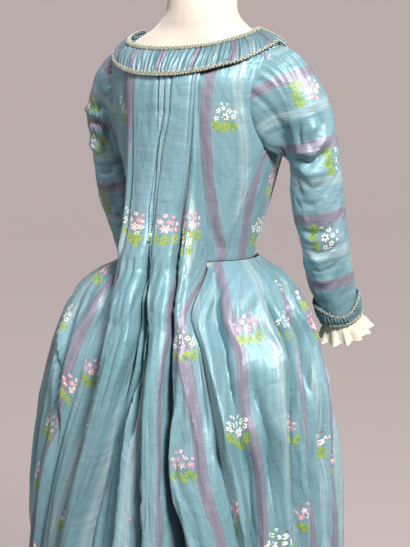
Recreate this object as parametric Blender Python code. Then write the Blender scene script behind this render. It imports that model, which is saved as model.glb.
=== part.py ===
import math
import bpy
import bmesh
import numpy as np

for old in list(bpy.data.objects):
    bpy.data.objects.remove(old, do_unlink=True)

# Driving dimensions, metres.  The wearer faces -Y, the wearer's left is +X, the floor is z = 0.
clothWall = 0.0016
bodiceWall = 0.0018
laceWall = 0.0010
waistLevel = 1.000
hemLevel = 0.012
bodiceLift = 0.0021
poleRadius = 0.016
baseRadius = 0.165
baseHeight = 0.014
cuffEdge = 0.903
laceTop = 0.9085
bandGathers = 64
cuffGathers = 22
laceWaves = 12
ringPower = 2.15

# Padded form: z, half width, depth behind, depth before, centre y.
formRings = [
    (0.860, .130, .096, .098, .006),
    (0.930, .112, .088, .090, .002),
    (1.000, .094, .080, .080, .000),
    (1.050, .106, .083, .086, -.002),
    (1.120, .124, .090, .099, -.004),
    (1.180, .136, .095, .112, -.004),
    (1.230, .143, .096, .106, -.002),
    (1.270, .150, .092, .094, .000),
    (1.300, .152, .082, .084, -.004),
    (1.322, .144, .070, .074, -.008),
    (1.340, .115, .060, .066, -.011),
    (1.355, .084, .055, .062, -.012),
    (1.368, .067, .054, .059, -.012),
    (1.385, .056, .053, .056, -.013),
    (1.420, .053, .053, .054, -.018),
    (1.480, .052, .052, .053, -.028),
]

# Skirt over the pads, crest line of the folds: same columns.
skirtRings = [
    (0.00, .300, .235, .235, .045),
    (0.20, .288, .222, .225, .045),
    (0.40, .274, .208, .213, .045),
    (0.55, .265, .196, .202, .044),
    (0.65, .259, .187, .194, .041),
    (0.75, .249, .176, .184, .038),
    (0.85, .231, .158, .168, .035),
    (0.90, .215, .142, .152, .032),
    (0.94, .195, .122, .130, .028),
    (0.97, .160, .102, .116, .018),
    (1.00, .100, .085, .087, .000),
]

# Sack back, level at which its lowest layer hangs: z, half width of the curve, depth, depth before, centre y.
sackRings = [
    (0.00, .300, .235, .235, .045),
    (0.20, .288, .222, .225, .045),
    (0.40, .274, .208, .213, .045),
    (0.55, .265, .196, .202, .044),
    (0.65, .259, .187, .194, .041),
    (0.75, .249, .176, .184, .038),
    (0.85, .231, .158, .168, .035),
    (0.90, .215, .142, .142, .032),
    (0.95, .165, .095, .095, .064),
    (1.00, .135, .065, .065, .070),
    (1.06, .130, .060, .060, .055),
    (1.12, .130, .060, .060, .046),
    (1.18, .135, .064, .064, .039),
    (1.23, .138, .064, .064, .037),
    (1.27, .140, .064, .064, .0345),
    (1.30, .140, .062, .062, .0225),
    (1.315, .140, .060, .060, .0160),
]

# Folds of the sack, one row per fold line, left end to right end.
# Each pair is (place along the ring from the centre back, mm; height off the ring, mm).
sackLevels = [1.315, 1.27, 1.15, 1.06, 1.00, 0.93, 0.88, 0.80, 0.70, 0.58, 0.30, 0.00]
sackFolds = [
    ("left end", [(67, 0), (67, 0), (69.5, -11), (77, -34), (86, -54), (84, -19), (100, -18), (120, -18),
                  (150, -18), (190, -20), (255, -24), (298, -28)]),
    ("left rim", [(62.5, 1), (62.5, 1), (64, 1), (67, -2), (70, -6), (77, -8), (92, -10), (110, -10),
                  (138, -10), (176, -10), (240, -12), (282, -14)]),
    ("left strip", [(59, 1.3), (59, 1.3), (59, 2.4), (61, 2), (63, 1), (68, 0), (78, -2), (92, -2),
                    (122, -2), (158, -2), (222, -2), (262, 0)]),
    ("left strip edge", [(54, 1.2), (54, 1.2), (52, 1.5), (53, 0), (54, -3), (58, -6), (66, -8), (76, -8),
                         (106, -8), (140, -8), (200, -8), (240, -8)]),
    ("left hollow", [(51.5, .8), (51.5, .8), (48.5, 0), (47, -6), (46, -12), (48, -18), (56, -22), (62, -26),
                     (90, -28), (124, -30), (180, -36), (218, -40)]),
    ("left pleat outer", [(49, 2.4), (49, 2.4), (46, 3.4), (45, 4), (45, 4), (46, 4), (50, 4), (54, 4),
                          (78, 3), (112, 3), (160, 3), (198, 3)]),
    ("left pleat face", [(27, 2.6), (27, 2.6), (27, 4), (26, 5.5), (25, 6), (24, 7), (29, 8), (37, 8),
                         (66, 8), (99, 8), (140, 9), (175, 10)]),
    ("left pleat inner", [(6, 2.4), (6, 2.4), (6, 3.2), (6, 4), (7, 4), (10, 3), (12, 2), (22, 1),
                          (54, 0), (86, 0), (120, 0), (150, 0)]),
    ("left groove", [(3, 0), (3, 0), (3, .5), (3, -1), (3, -5), (4, -14), (4, -20), (14, -26),
                     (26, -34), (32, -40), (60, -44), (76, -48)]),
    ("centre back", [(0, .2), (0, .2), (0, .6), (0, -.6), (0, -4.4), (0, -13), (0, -18), (1, -18),
                     (3, -8), (0, -2), (4, 4), (8, 8)]),
    ("right groove", [(-3, 0), (-3, 0), (-3, .5), (-3, -1), (-3, -5), (-4, -14), (-4, -20), (-10, -22),
                      (-20, -20), (-36, -20), (-44, -28), (-50, -36)]),
    ("right pleat inner", [(-6, 2.4), (-6, 2.4), (-6, 3.2), (-6, 4), (-6, 4), (-8, 3), (-11, 1), (-20, 0),
                           (-28, 0), (-44, 0), (-62, 0), (-78, 0)]),
    ("right pleat face", [(-27, 2.6), (-27, 2.6), (-27, 4), (-26, 5.5), (-25, 6), (-24, 6), (-29, 6), (-37, 6),
                          (-48, 6), (-60, 6), (-82, 8), (-104, 10)]),
    ("right pleat outer", [(-49, 2.4), (-49, 2.4), (-46, 3.4), (-43, 4), (-41, 3.6), (-41, 2), (-48, 0), (-54, 0),
                           (-64, 0), (-75, 0), (-106, 2), (-134, 2)]),
    ("right hollow", [(-51.5, .8), (-51.5, .8), (-48.5, 0), (-46, -8), (-44, -16), (-46, -22), (-57, -30),
                      (-65, -36), (-76, -42), (-102, -46), (-138, -52), (-166, -56)]),
    ("right strip edge", [(-54, 1.2), (-54, 1.2), (-52, 1.5), (-52, 0), (-52, -3), (-54, -4), (-68, -5), (-79, -5),
                          (-86, -1), (-130, -3), (-168, -4), (-196, -4)]),
    ("right strip", [(-59, 1.3), (-59, 1.3), (-59, 2.4), (-62, 2.4), (-65, 2.4), (-70, 3), (-92, 3), (-112, 4),
                     (-130, 5), (-172, 4), (-210, 6), (-246, 8)]),
    ("right rim", [(-62.5, 1), (-62.5, 1), (-64, 1), (-69, -2), (-74, -5), (-83, -5), (-113, -4), (-142, -4),
                   (-168, -4), (-206, -5), (-248, -6), (-286, -8)]),
    ("right end", [(-67, 0), (-67, 0), (-70, -11), (-79, -35), (-89, -55), (-90, -18), (-120.5, -12), (-150.5, -10),
                   (-178.5, -10), (-215.5, -12), (-262, -18), (-300, -24)]),
]

# Folds of the skirt from the sack round to the open front, right side; left uses the same rows.
skirtLevels = [1.00, 0.97, 0.93, 0.88, 0.80, 0.70, 0.58, 0.30, 0.00]
skirtFolds = [
    ("at the sack", [(70, 0), (90, -22), (88, -18), (120.5, -12), (150.5, -10), (178.5, -10), (215.5, -12),
                     (262, -18), (300, -24)]),
    ("back crest", [(79, 0), (100, -6), (104, 0), (132, 2), (162, 0), (190, -2), (226, -2), (275, 0), (318, 4)]),
    ("soft hollow", [(86, 0), (110, -4), (122, -4), (156, -4), (180, -6), (210, -14), (236, -12), (290, -12),
                     (335, -18)]),
    ("side crest", [(95, 0), (120, 1), (145, 2), (182, 4), (201, 3), (236, 4), (250, 2), (312, 6), (362, 6)]),
    ("side hollow", [(108, 0), (138, 0), (168, 0), (212, 0), (227, -3), (254, -8), (272, -10), (335, -14),
                     (385, -18)]),
    ("hip crest", [(125, 0), (163, 2), (196, 3), (240, 5), (256, 5), (274, 4), (294, 3), (355, 4), (405, 6)]),
    ("hip hollow", [(132, 0), (176, 0), (215, -2), (262, -6), (281, -12), (292, -12), (312, -14), (372, -18),
                    (424, -22)]),
    ("second crest", [(138, 0), (186, 3), (228, 3), (276, 2), (293, 3), (305, 3), (326, 3), (388, 5), (442, 5)]),
    ("second hollow", [(146, 0), (196, -2), (241, -6), (291, -8), (311, -10), (323, -14), (341, -14), (402, -18),
                       (458, -22)]),
    ("slit rim back", [(152, 0), (204, 4), (250, 4), (302, 4), (324, 4), (338, 3), (356, 3), (418, 4), (476, 5)]),
    ("pocket slit", [(160, 0), (216, -11), (262, -12), (314, -10), (338, -12), (352, -14), (370, -14), (434, -18),
                     (492, -22)]),
    ("slit rim front", [(166, .5), (226, 5), (274, 5), (328, 4), (352, 4), (368, 3), (386, 3), (450, 5), (510, 6)]),
    ("front hollow a", [(176, 0), (240, -4), (292, -6), (344, -8), (370, -12), (384, -14), (402, -16), (466, -20),
                        (526, -24)]),
    ("front crest a", [(184, 0), (252, 4), (306, 4), (358, 3), (386, 3), (402, 3), (420, 3), (484, 5), (546, 6)]),
    ("front hollow b", [(194, 0), (268, -4), (324, -6), (378, -8), (408, -12), (424, -14), (442, -16), (504, -20),
                        (566, -24)]),
    ("front crest b", [(204, 0), (284, 3), (342, 3), (398, 3), (430, 3), (448, 3), (464, 3), (526, 5), (588, 6)]),
    ("front hollow c", [(216, 0), (304, -3), (366, -4), (424, -5), (458, -6), (476, -8), (492, -8), (552, -10),
                        (612, -10)]),
    ("front crest c", [(228, 0), (322, 2), (388, 2), (450, 2), (486, 2), (506, 2), (520, 2), (578, 3), (636, 3)]),
    ("open edge", [(240, 0), (338, 1), (404, 1), (470, 1), (508, 1), (530, 1), (545, 1), (602, 1), (660, 1)]),
]
leftSeam = [66, 84, 81, 100.5, 120.5, 150.5, 190.5, 255.5, 298.5]

# Bodice back: inner edge (angle from the centre back, z) and outer edge, waist to shoulder.
backRows = [
    (0, 1.000, 60, 1.000),
    (0, 1.050, 63, 1.050),
    (0, 1.100, 68, 1.100),
    (0, 1.150, 75, 1.148),
    (0, 1.190, 76, 1.176),
    (0, 1.230, 66, 1.205),
    (0, 1.265, 61, 1.235),
    (0, 1.295, 60, 1.262),
    (3, 1.316, 62, 1.285),
    (28, 1.322, 67, 1.302),
    (50, 1.334, 75, 1.314),
    (72, 1.341, 83, 1.321),
    (88, 1.345, 88, 1.325),
]
# Bodice front: outer edge then open front edge.
frontRows = [
    (60, 1.000, 160, 1.000),
    (63, 1.050, 158, 1.050),
    (68, 1.100, 154, 1.100),
    (75, 1.148, 150, 1.150),
    (80, 1.163, 147, 1.190),
    (95, 1.175, 143, 1.225),
    (106, 1.200, 138, 1.255),
    (114, 1.225, 131, 1.280),
    (112, 1.258, 124, 1.300),
    (106, 1.287, 115, 1.320),
    (98, 1.309, 104, 1.334),
    (88, 1.325, 88, 1.345),
]
# Armhole, from the shoulder point round by the back: angle, z.
armholeRows = [
    (88, 1.325), (83, 1.321), (75, 1.314), (67, 1.302), (62, 1.285), (60, 1.262), (61, 1.235), (66, 1.205),
    (76, 1.182), (86, 1.1765), (95, 1.179), (104.6, 1.203), (112.3, 1.228), (111, 1.258), (105.5, 1.287), (98, 1.309),
]
# Stomacher: z, half angle each side of the centre front.
stomacherRows = [
    (1.003, 27), (1.05, 29), (1.10, 33), (1.15, 37), (1.19, 41), (1.225, 46), (1.25, 51),
]
# Neck band: inner edge (angle, z), outer edge (angle, z), lift over the form in mm.
bandRows = [
    (0, 1.3165, 0, 1.277, 12.4),
    (14, 1.318, 12, 1.278, 12.4),
    (28, 1.322, 26, 1.283, 12.2),
    (40, 1.328, 38, 1.291, 11.0),
    (50, 1.333, 50, 1.300, 8.6),
    (62, 1.338, 61, 1.310, 7.4),
    (75, 1.3425, 74, 1.320, 7.2),
    (88, 1.345, 88, 1.325, 7.2),
    (104, 1.334, 100, 1.313, 7.2),
    (115, 1.320, 108, 1.298, 7.6),
    (124, 1.300, 114, 1.274, 8.0),
    (131, 1.280, 119, 1.250, 8.4),
    (138, 1.255, 123, 1.222, 8.4),
    (143, 1.225, 126, 1.190, 8.4),
    (147, 1.190, 128, 1.150, 8.2),
    (150, 1.150, 130, 1.110, 8.0),
    (154, 1.100, 133, 1.065, 8.2),
    (158, 1.050, 137, 1.030, 8.6),
    (160, 1.006, 139, 1.006, 8.2),
]
# Arm line inside each sleeve: z, distance out, distance before, radius.
rightArm = [
    (0.880, .2085, .113, .0285), (0.905, .2070, .103, .0295), (0.938, .2045, .089, .0325),
    (0.965, .2025, .079, .0358), (1.000, .2005, .068, .0368), (1.040, .1985, .056, .0376),
    (1.087, .1955, .044, .0395), (1.170, .1895, .030, .0430), (1.240, .1740, .018, .0460),
    (1.300, .1520, .006, .0460),
]
leftArm = [
    (0.880, .1985, .150, .0285), (0.905, .1985, .138, .0295), (0.938, .1985, .124, .0325),
    (0.965, .1985, .111, .0358), (1.000, .1980, .096, .0368), (1.040, .1965, .079, .0378),
    (1.087, .1920, .053, .0398), (1.170, .1880, .031, .0424), (1.240, .1750, .018, .0470),
    (1.300, .1540, .006, .0480),
]
# Colour, roughness and metallic value of each finish.
materials = {
    "taffeta": ((0.34, 0.50, 0.55, 1.0), 0.38, 0.10),
    "lace": ((0.86, 0.80, 0.70, 1.0), 0.75, 0.0),
    "braid": ((0.62, 0.60, 0.50, 1.0), 0.60, 0.0),
    "cover": ((0.84, 0.74, 0.64, 1.0), 0.80, 0.0),
    "metal": ((0.30, 0.30, 0.30, 1.0), 0.35, 1.0),
}


def pchip(xs, ys, x):
    """Curve through the rows that never overshoots them."""
    n = len(xs)
    if x <= xs[0]:
        return ys[0]
    if x >= xs[-1]:
        return ys[-1]
    k = 0
    while x > xs[k + 1]:
        k += 1

    def slope(i):
        if i == 0:
            return (ys[1] - ys[0]) / (xs[1] - xs[0])
        if i == n - 1:
            return (ys[-1] - ys[-2]) / (xs[-1] - xs[-2])
        a = (ys[i] - ys[i - 1]) / (xs[i] - xs[i - 1])
        b = (ys[i + 1] - ys[i]) / (xs[i + 1] - xs[i])
        if a * b <= 0:
            return 0.0
        wa = 2 * (xs[i + 1] - xs[i]) + (xs[i] - xs[i - 1])
        wb = (xs[i + 1] - xs[i]) + 2 * (xs[i] - xs[i - 1])
        return (wa + wb) / (wa / a + wb / b)

    h = xs[k + 1] - xs[k]
    t = (x - xs[k]) / h
    m0 = slope(k) * h
    m1 = slope(k + 1) * h
    return ((2 * t**3 - 3 * t**2 + 1) * ys[k] + (t**3 - 2 * t**2 + t) * m0
            + (-2 * t**3 + 3 * t**2) * ys[k + 1] + (t**3 - t**2) * m1)


def columns(rows, z):
    zs = [r[0] for r in rows]
    return [pchip(zs, [r[k] for r in rows], z) for k in range(1, len(rows[0]))]


def atIndex(rows, s):
    """Smooth reading of a table between its rows, s counted in rows."""
    return [pchip(list(range(len(rows))), [r[k] for r in rows], s) for k in range(len(rows[0]))]


def ringPoint(rows, z, angle, power=2.0, out=0.0):
    """Point on the ring at this level; the angle is from the centre back toward +X."""
    a, b, f, y0 = columns(rows, z)
    c = math.cos(angle)
    s = math.sin(angle)
    d = b if c > 0 else f
    x = (a + out) * math.copysign(abs(s) ** (2 / power), s)
    y = y0 + (d + out) * math.copysign(abs(c) ** (2 / power), c)
    return np.array([x, y, z])


ringCache = {}


def ringLength(rows, key, z):
    """Points and running length of the half ring from the centre back, kept for each level."""
    mark = (key, round(z, 6))
    if mark not in ringCache:
        pts = [ringPoint(rows, z, math.pi * k / 240, ringPower) for k in range(241)]
        run = [0.0]
        for k in range(240):
            run.append(run[-1] + float(np.linalg.norm(pts[k + 1] - pts[k])))
        ringCache[mark] = (np.array(pts), np.array(run))
    return ringCache[mark]


def alongRing(rows, key, z, p, h):
    """Point p metres round from the centre back (+ toward +X), lifted h off the ring."""
    pts, run = ringLength(rows, key, z)
    side = 1.0 if p >= 0 else -1.0
    q = min(abs(p), run[-1] - 1e-6)
    x = float(np.interp(q, run, pts[:, 0]))
    y = float(np.interp(q, run, pts[:, 1]))
    e = 0.006
    x1 = float(np.interp(q + e, run, pts[:, 0]))
    y1 = float(np.interp(q + e, run, pts[:, 1]))
    if q > e:
        x0 = float(np.interp(q - e, run, pts[:, 0]))
        y0 = float(np.interp(q - e, run, pts[:, 1]))
    else:
        x0 = -float(np.interp(e - q, run, pts[:, 0]))
        y0 = float(np.interp(e - q, run, pts[:, 1]))
    tx = x1 - x0
    ty = y1 - y0
    size = math.hypot(tx, ty)
    nx = -ty / size
    ny = tx / size
    return np.array([side * (x + nx * h), y + ny * h, z]) if nx * x + ny * y > 0 else \
        np.array([side * (x - nx * h), y - ny * h, z])


def formPoint(angle, z, lift):
    """Point over the padded form, lifted along the true surface normal."""
    e = 0.004
    a = math.radians(angle)
    p = ringPoint(formRings, z, a)
    u = ringPoint(formRings, z, a + 0.02) - ringPoint(formRings, z, a - 0.02)
    v = ringPoint(formRings, z + e, a) - ringPoint(formRings, z - e, a)
    n = np.cross(u, v)
    n = n / np.linalg.norm(n)
    if n[0] * math.sin(a) + n[1] * math.cos(a) + 0.3 * n[2] < 0:
        n = -n
    return p + n * lift


def meshObject(name, verts, faces, look):
    mesh = bpy.data.meshes.new(name)
    mesh.from_pydata([tuple(map(float, v)) for v in verts], [], faces)
    mesh.validate()
    bm = bmesh.new()
    bm.from_mesh(mesh)
    bmesh.ops.recalc_face_normals(bm, faces=bm.faces)
    if bm.calc_volume(signed=True) < 0:
        bmesh.ops.reverse_faces(bm, faces=bm.faces)
    bm.to_mesh(mesh)
    bm.free()
    obj = bpy.data.objects.new(name, mesh)
    bpy.context.scene.collection.objects.link(obj)
    mat = bpy.data.materials.new(name + "_" + look)
    mat.use_nodes = True
    for key, value in zip(("Base Color", "Roughness", "Metallic"), materials[look]):
        mat.node_tree.nodes["Principled BSDF"].inputs[key].default_value = value
    mesh.materials.append(mat)
    return obj


def gridNormals(grid, wrap):
    """Unit normals and stretch so that both faces of the wall stay parallel."""
    rows, cols = grid.shape[:2]
    total = np.zeros_like(grid)
    parts = [[[] for c in range(cols)] for r in range(rows)]
    last = cols if wrap else cols - 1
    for r in range(rows - 1):
        for c in range(last):
            d = (c + 1) % cols
            n = np.cross(grid[r, d] - grid[r + 1, c], grid[r + 1, d] - grid[r, c])
            size = np.linalg.norm(n)
            if size < 1e-12:
                continue
            n = n / size
            for rr, cc in ((r, c), (r, d), (r + 1, c), (r + 1, d)):
                total[rr, cc] += n
                parts[rr][cc].append(n)
    for r in range(rows):
        for c in range(cols):
            n = total[r, c] / np.linalg.norm(total[r, c])
            least = min(float(n @ m) for m in parts[r][c])
            total[r, c] = n / max(least, 0.62)
    return total


def shell(name, grid, wall, look, wrap=False, edgeNormals=None):
    """Thin wall about a grid of points, closed round every edge."""
    grid = np.array(grid)
    rows, cols = grid.shape[:2]
    n = gridNormals(grid, wrap)
    if edgeNormals is not None:
        for c in (0, cols - 1):
            for r in range(rows):
                m = edgeNormals[r][0 if c == 0 else 1]
                if m is not None:
                    n[r, c] = m * (1.0 if m @ n[r, c] > 0 else -1.0)
    top = (grid + n * wall / 2).reshape(-1, 3)
    low = (grid - n * wall / 2).reshape(-1, 3)
    verts = list(top) + list(low)
    k = rows * cols
    faces = []
    last = cols if wrap else cols - 1
    for r in range(rows - 1):
        for c in range(last):
            d = (c + 1) % cols
            p, q = r * cols + c, r * cols + d
            s, t = (r + 1) * cols + c, (r + 1) * cols + d
            if (r + c) % 2:
                faces += [(p, q, t), (p, t, s), (k + p, k + t, k + q), (k + p, k + s, k + t)]
            else:
                faces += [(p, q, s), (q, t, s), (k + p, k + s, k + q), (k + q, k + s, k + t)]
    for r in (0, rows - 1):
        for c in range(last):
            d = (c + 1) % cols
            p, q = r * cols + c, r * cols + d
            faces += [(p, k + p, q), (q, k + p, k + q)] if r == 0 else [(p, q, k + p), (q, k + q, k + p)]
    if not wrap:
        for c in (0, cols - 1):
            for r in range(rows - 1):
                p, q = r * cols + c, (r + 1) * cols + c
                faces += [(p, q, k + p), (q, k + q, k + p)] if c == 0 else [(p, k + p, q), (q, k + p, k + q)]
    return meshObject(name, verts, faces, look)


def foldLine(folds, levels, z):
    """Places and heights of every fold line at this level, metres."""
    rise = list(reversed(levels))
    out = []
    for row in folds:
        pairs = list(reversed(row[1]))
        out.append((pchip(rise, [q[0] for q in pairs], z) / 1000, pchip(rise, [q[1] for q in pairs], z) / 1000))
    return out


def hangingSheet(folds, levels, rings, key, zRows, steps, sign=1.0, remap=None):
    """Grid of a folded sheet: every fold line crossed by every level."""
    grid = []
    for z in zRows:
        line = foldLine(folds, levels, z)
        if remap is not None:
            line = remap(line, z)
        index = list(range(len(line)))
        row = []
        for k in range((len(line) - 1) * steps + 1):
            s = k / steps
            p = pchip(index, [q[0] for q in line], s)
            h = pchip(index, [q[1] for q in line], s)
            row.append(alongRing(rings, key, z, sign * p, h))
        grid.append(row)
    return grid


def radialEdges(grid, centre):
    """Edge normals that point straight out, so that two sheets meet side by side."""
    out = []
    for row in grid:
        pair = []
        for p in (row[0], row[-1]):
            m = np.array([p[0] - centre[0], p[1] - centre[1], 0.0])
            pair.append(m / np.linalg.norm(m) if p[2] < 0.95 or p[2] > 1.20 else None)
        out.append(pair)
    return out


def leftPlaces(line, z):
    """The left skirt starts where the left end of the sack leaves off."""
    start = pchip(list(reversed(skirtLevels)), list(reversed(leftSeam)), z) / 1000
    first = line[0][0]
    last = line[-1][0]
    return [(start + (p - first) * (last - start) / (last - first), h) for p, h in line]


def patch(rows, steps, cuts, side, lift, trim):
    """Ruled patch over the form between two edges, drawn back a little at the seams."""
    grid = []
    for k in range((len(rows) - 1) * steps + 1):
        a0, z0, a1, z1 = atIndex(rows, k / steps)
        row = []
        for c in range(cuts + 1):
            u = c / cuts
            a = a0 + (a1 - a0) * u
            z = z0 + (z1 - z0) * u
            row.append(formPoint(side * a, z, lift(a, z)))
        grid.append(row)
    grid = np.array(grid)
    for line in (grid, grid.transpose(1, 0, 2)):
        for first, second in ((0, 1), (-1, -2)):
            step = line[:, second] - line[:, first]
            size = np.linalg.norm(step, axis=1, keepdims=True)
            line[:, first] += step / size * np.minimum(trim, size * 0.4)
    return grid


def bodiceHeight(a, z):
    """Lift of the bodice, more over the shoulder and where it laps the stomacher."""
    t = min(max((a - 118) / 16, 0), 1)
    s = min(max((z - 1.14) / 0.06, 0), 1)
    return bodiceLift + 0.0022 * t * t * (3 - 2 * t) + 0.0014 * s * s * (3 - 2 * s)


def armPoint(arm, side, z, angle, extra=0.0):
    """Point round the arm line; angle 0 away from the body, 90 behind, 180 beside the body."""
    x, f, r = columns(arm, z)
    xa, fa, ra = columns(arm, z + 0.01)
    xb, fb, rb = columns(arm, z - 0.01)
    t = np.array([xa - xb, -(fa - fb), 0.02 if 0.89 < z < 1.29 else 0.012])
    t = t / np.linalg.norm(t)
    e1 = np.array([1.0, 0.0, 0.0]) - t * t[0]
    e1 = e1 / np.linalg.norm(e1)
    e2 = np.cross(t, e1)
    c = math.cos(angle)
    s = math.sin(angle)
    p = np.array([x, -f, z]) + (r + extra) * (c * e1 + s * e2)
    p[0] *= side
    return p


def sleeveEnd(angle):
    """Level of the seam with the cuff: it dips behind the elbow."""
    dip = max(0.0, math.cos(angle - math.radians(48)))
    return 0.938 - 0.018 * dip ** 3


def sleeveGrid(arm, side, around, along):
    loop = [(a, z) for a, z in armholeRows]
    loop.append(loop[0])
    count = len(loop) - 1
    hole = [formPoint(side * a, z, bodiceLift + 0.0022) for a, z in armholeRows]
    middle = sum(hole) / len(hole)
    grid = [[] for r in range(along + 4)]
    for c in range(around):
        u = c / around
        s = u * count
        a, z = atIndex(loop, s)
        angle = 2 * math.pi * u
        start = formPoint(side * a, z, bodiceLift + 0.0022)
        start = start + (middle - start) / np.linalg.norm(middle - start) * (0.0019 - 0.0006 * math.sin(angle))
        head = 1.172 + 0.043 * math.cos(angle)
        ring = armPoint(arm, side, head, angle)
        below = armPoint(arm, side, head - 0.02, angle)
        inward = (ring - below) / 0.02
        out = np.array([side * 1.0, 0.0, min(0.0, math.cos(angle)) * 0.4])
        if math.cos(angle) > 0:
            out = np.array([side * 0.95, 0.0, -0.10])
        out = out / np.linalg.norm(out)
        gap = np.linalg.norm(ring - start)
        p1 = start + out * gap * (0.34 if math.cos(angle) > -0.3 else 0.22)
        p2 = ring + inward * gap * 0.34
        for r in range(4):
            t = r / 4
            grid[r].append((1 - t)**3 * start + 3 * (1 - t)**2 * t * p1 + 3 * (1 - t) * t * t * p2 + t**3 * ring)
        end = sleeveEnd(angle) - 0.006
        for r in range(along):
            v = r / (along - 1)
            level = head + (end - head) * v
            ease = 0.0012 * math.sin(5 * angle + 9 * v) * min(1, 4 * (1 - v)) * min(1, 5 * v)
            grid[r + 4].append(armPoint(arm, side, level, angle, ease))
    return grid


def cuffGrid(arm, side):
    grid = [[] for r in range(3)]
    count = cuffGathers * 2
    for c in range(count):
        angle = 2 * math.pi * c / count
        wave = 0.0008 if c % 2 else -0.0008
        top = sleeveEnd(angle)
        for r, (v, lift) in enumerate(((0, .0030), (.5, .0056), (1, .0034))):
            level = top + (cuffEdge - top) * v
            grid[r].append(armPoint(arm, side, level, angle, lift + wave * (1.0 if r == 1 else 0.5)))
    return grid


def laceGrid(arm, side):
    grid = [[] for r in range(4)]
    count = laceWaves * 3
    for c in range(count):
        angle = 2 * math.pi * c / count
        phase = laceWaves * angle
        for r, (drop, out, swing) in enumerate(((0.0, .0003, .0001), (.007, .0005, .0003),
                                                (.020, .0050, .0024), (.033, .0110, .0040))):
            p = armPoint(arm, side, laceTop, angle, out + swing * math.cos(phase))
            axis = armPoint(arm, side, laceTop, 0.0) + armPoint(arm, side, laceTop, math.pi)
            upper = armPoint(arm, side, laceTop + .01, 0.0) + armPoint(arm, side, laceTop + .01, math.pi)
            down = (axis - upper) / np.linalg.norm(axis - upper)
            grid[r].append(p + down * drop)
    return grid


def bandGrid():
    """Strip from one front edge over the shoulder, behind the neck and down the other front."""
    rows = [(-a, z, -b, y, lift) for a, z, b, y, lift in reversed(bandRows[1:])] + list(bandRows)
    count = bandGathers * 2
    grid = [[] for r in range(3)]
    base = [atIndex(rows, (len(rows) - 1) * k / 400) for k in range(401)]
    run = [0.0]
    for k in range(400):
        p = formPoint(base[k][0], base[k][1], .005)
        q = formPoint(base[k + 1][0], base[k + 1][1], .005)
        run.append(run[-1] + float(np.linalg.norm(q - p)))
    for c in range(count + 1):
        s = float(np.interp(run[-1] * c / count, run, [(len(rows) - 1) * k / 400 for k in range(401)]))
        a, z, b, y, lift = atIndex(rows, s)
        wave = 0.0007 if c % 2 else -0.0007
        for r, (v, rise) in enumerate(((0, -.0004), (.5, .0020), (1, -.0004))):
            grid[r].append(formPoint(a + (b - a) * v, z + (y - z) * v,
                                     lift / 1000 + rise + wave * (1.0 if r == 1 else 0.4)))
    return grid


def braidGrid(place, width, segments):
    rows = [(-a, z, -b, y, lift) for a, z, b, y, lift in reversed(bandRows[1:])] + list(bandRows)
    grid = [[], []]
    for c in range(segments + 1):
        a, z, b, y, lift = atIndex(rows, (len(rows) - 1) * c / segments)
        for r, v in enumerate((place - width / 2, place + width / 2)):
            grid[r].append(formPoint(a + (b - a) * v, z + (y - z) * v, lift / 1000 + 0.0032))
    return grid


def revolved(name, profile, look, count):
    """Closed body from horizontal loops, capped at both ends."""
    verts = []
    faces = []
    for loop in profile:
        verts += loop
    n = count
    for r in range(len(profile) - 1):
        for c in range(n):
            d = (c + 1) % n
            faces += [(r * n + c, r * n + d, (r + 1) * n + d), (r * n + c, (r + 1) * n + d, (r + 1) * n + c)]
    low = len(verts)
    verts.append(np.mean(np.array(profile[0]), axis=0))
    high = len(verts)
    verts.append(np.mean(np.array(profile[-1]), axis=0))
    for c in range(n):
        d = (c + 1) % n
        faces.append((low, d, c))
        faces.append((high, (len(profile) - 1) * n + c, (len(profile) - 1) * n + d))
    return meshObject(name, verts, faces, look)


# Padded form, pole and base.
count = 32
loops = []
formLevels = [0.868, 0.92, 0.965, 1.00, 1.03, 1.06, 1.10, 1.14, 1.19, 1.23, 1.265, 1.295, 1.315, 1.330, 1.343, 1.354, 1.366,
              1.382, 1.42, 1.455]
for z in formLevels:
    loops.append([ringPoint(formRings, z, 2 * math.pi * k / count) for k in range(count)])
for z, f in ((1.474, .86), (1.485, .50)):
    loops.append([np.array([p[0] * f, -.026 + (p[1] + .026) * f, z]) for p in loops[19]])
for z, f in ((0.858, .97), (0.852, .80)):
    loops.insert(0, [np.array([p[0] * f, p[1] * f, z]) for p in loops[0]])
revolved("dress_form", loops, "cover", count)
loops = []
for z in (baseHeight + 0.0003, 0.8517):
    loops.append([np.array([poleRadius * math.cos(2 * math.pi * k / 16), poleRadius * math.sin(2 * math.pi * k / 16),
                            z]) for k in range(16)])
revolved("stand_pole", loops, "metal", 16)
loops = []
for z, r in ((0.0, baseRadius - .002), (0.002, baseRadius), (baseHeight - .003, baseRadius),
             (baseHeight, baseRadius - .004)):
    loops.append([np.array([r * math.cos(2 * math.pi * k / 32), r * math.sin(2 * math.pi * k / 32), z])
                  for k in range(32)])
revolved("stand_base", loops, "metal", 32)

# Sack back.
sackRows = [1.311, 1.293, 1.27, 1.22, 1.15, 1.08, 1.04, 1.00, 0.968, 0.93, 0.88, 0.80, 0.70, 0.58, 0.42, 0.22, hemLevel]
grid = hangingSheet(sackFolds, sackLevels, sackRings, "sack", sackRows, 2)
shell("sack_back", grid, clothWall, "taffeta", edgeNormals=radialEdges(grid, (0, 0)))

# Skirt, left and right, then the panel seen between the open fronts.
skirtRows = [waistLevel - .0006, 0.986, 0.968, 0.93, 0.88, 0.80, 0.70, 0.58, 0.42, 0.22, hemLevel]


def seamPoint(sack, column, z):
    """Point of the sack's end on the straight run between its rows, with a step clear of it."""
    zs = [r[column][2] for r in reversed(sack)]
    p = np.array([np.interp(z, zs, [r[column][k] for r in reversed(sack)]) for k in range(3)])
    clear = float(np.interp(z, [0, 0.90, 0.95, 1.0], [.0008, .0009, .0024, .0030]))
    way = np.array([math.copysign(1.0, p[0]), -0.35, 0.0])
    return p + way / np.linalg.norm(way) * clear


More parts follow.
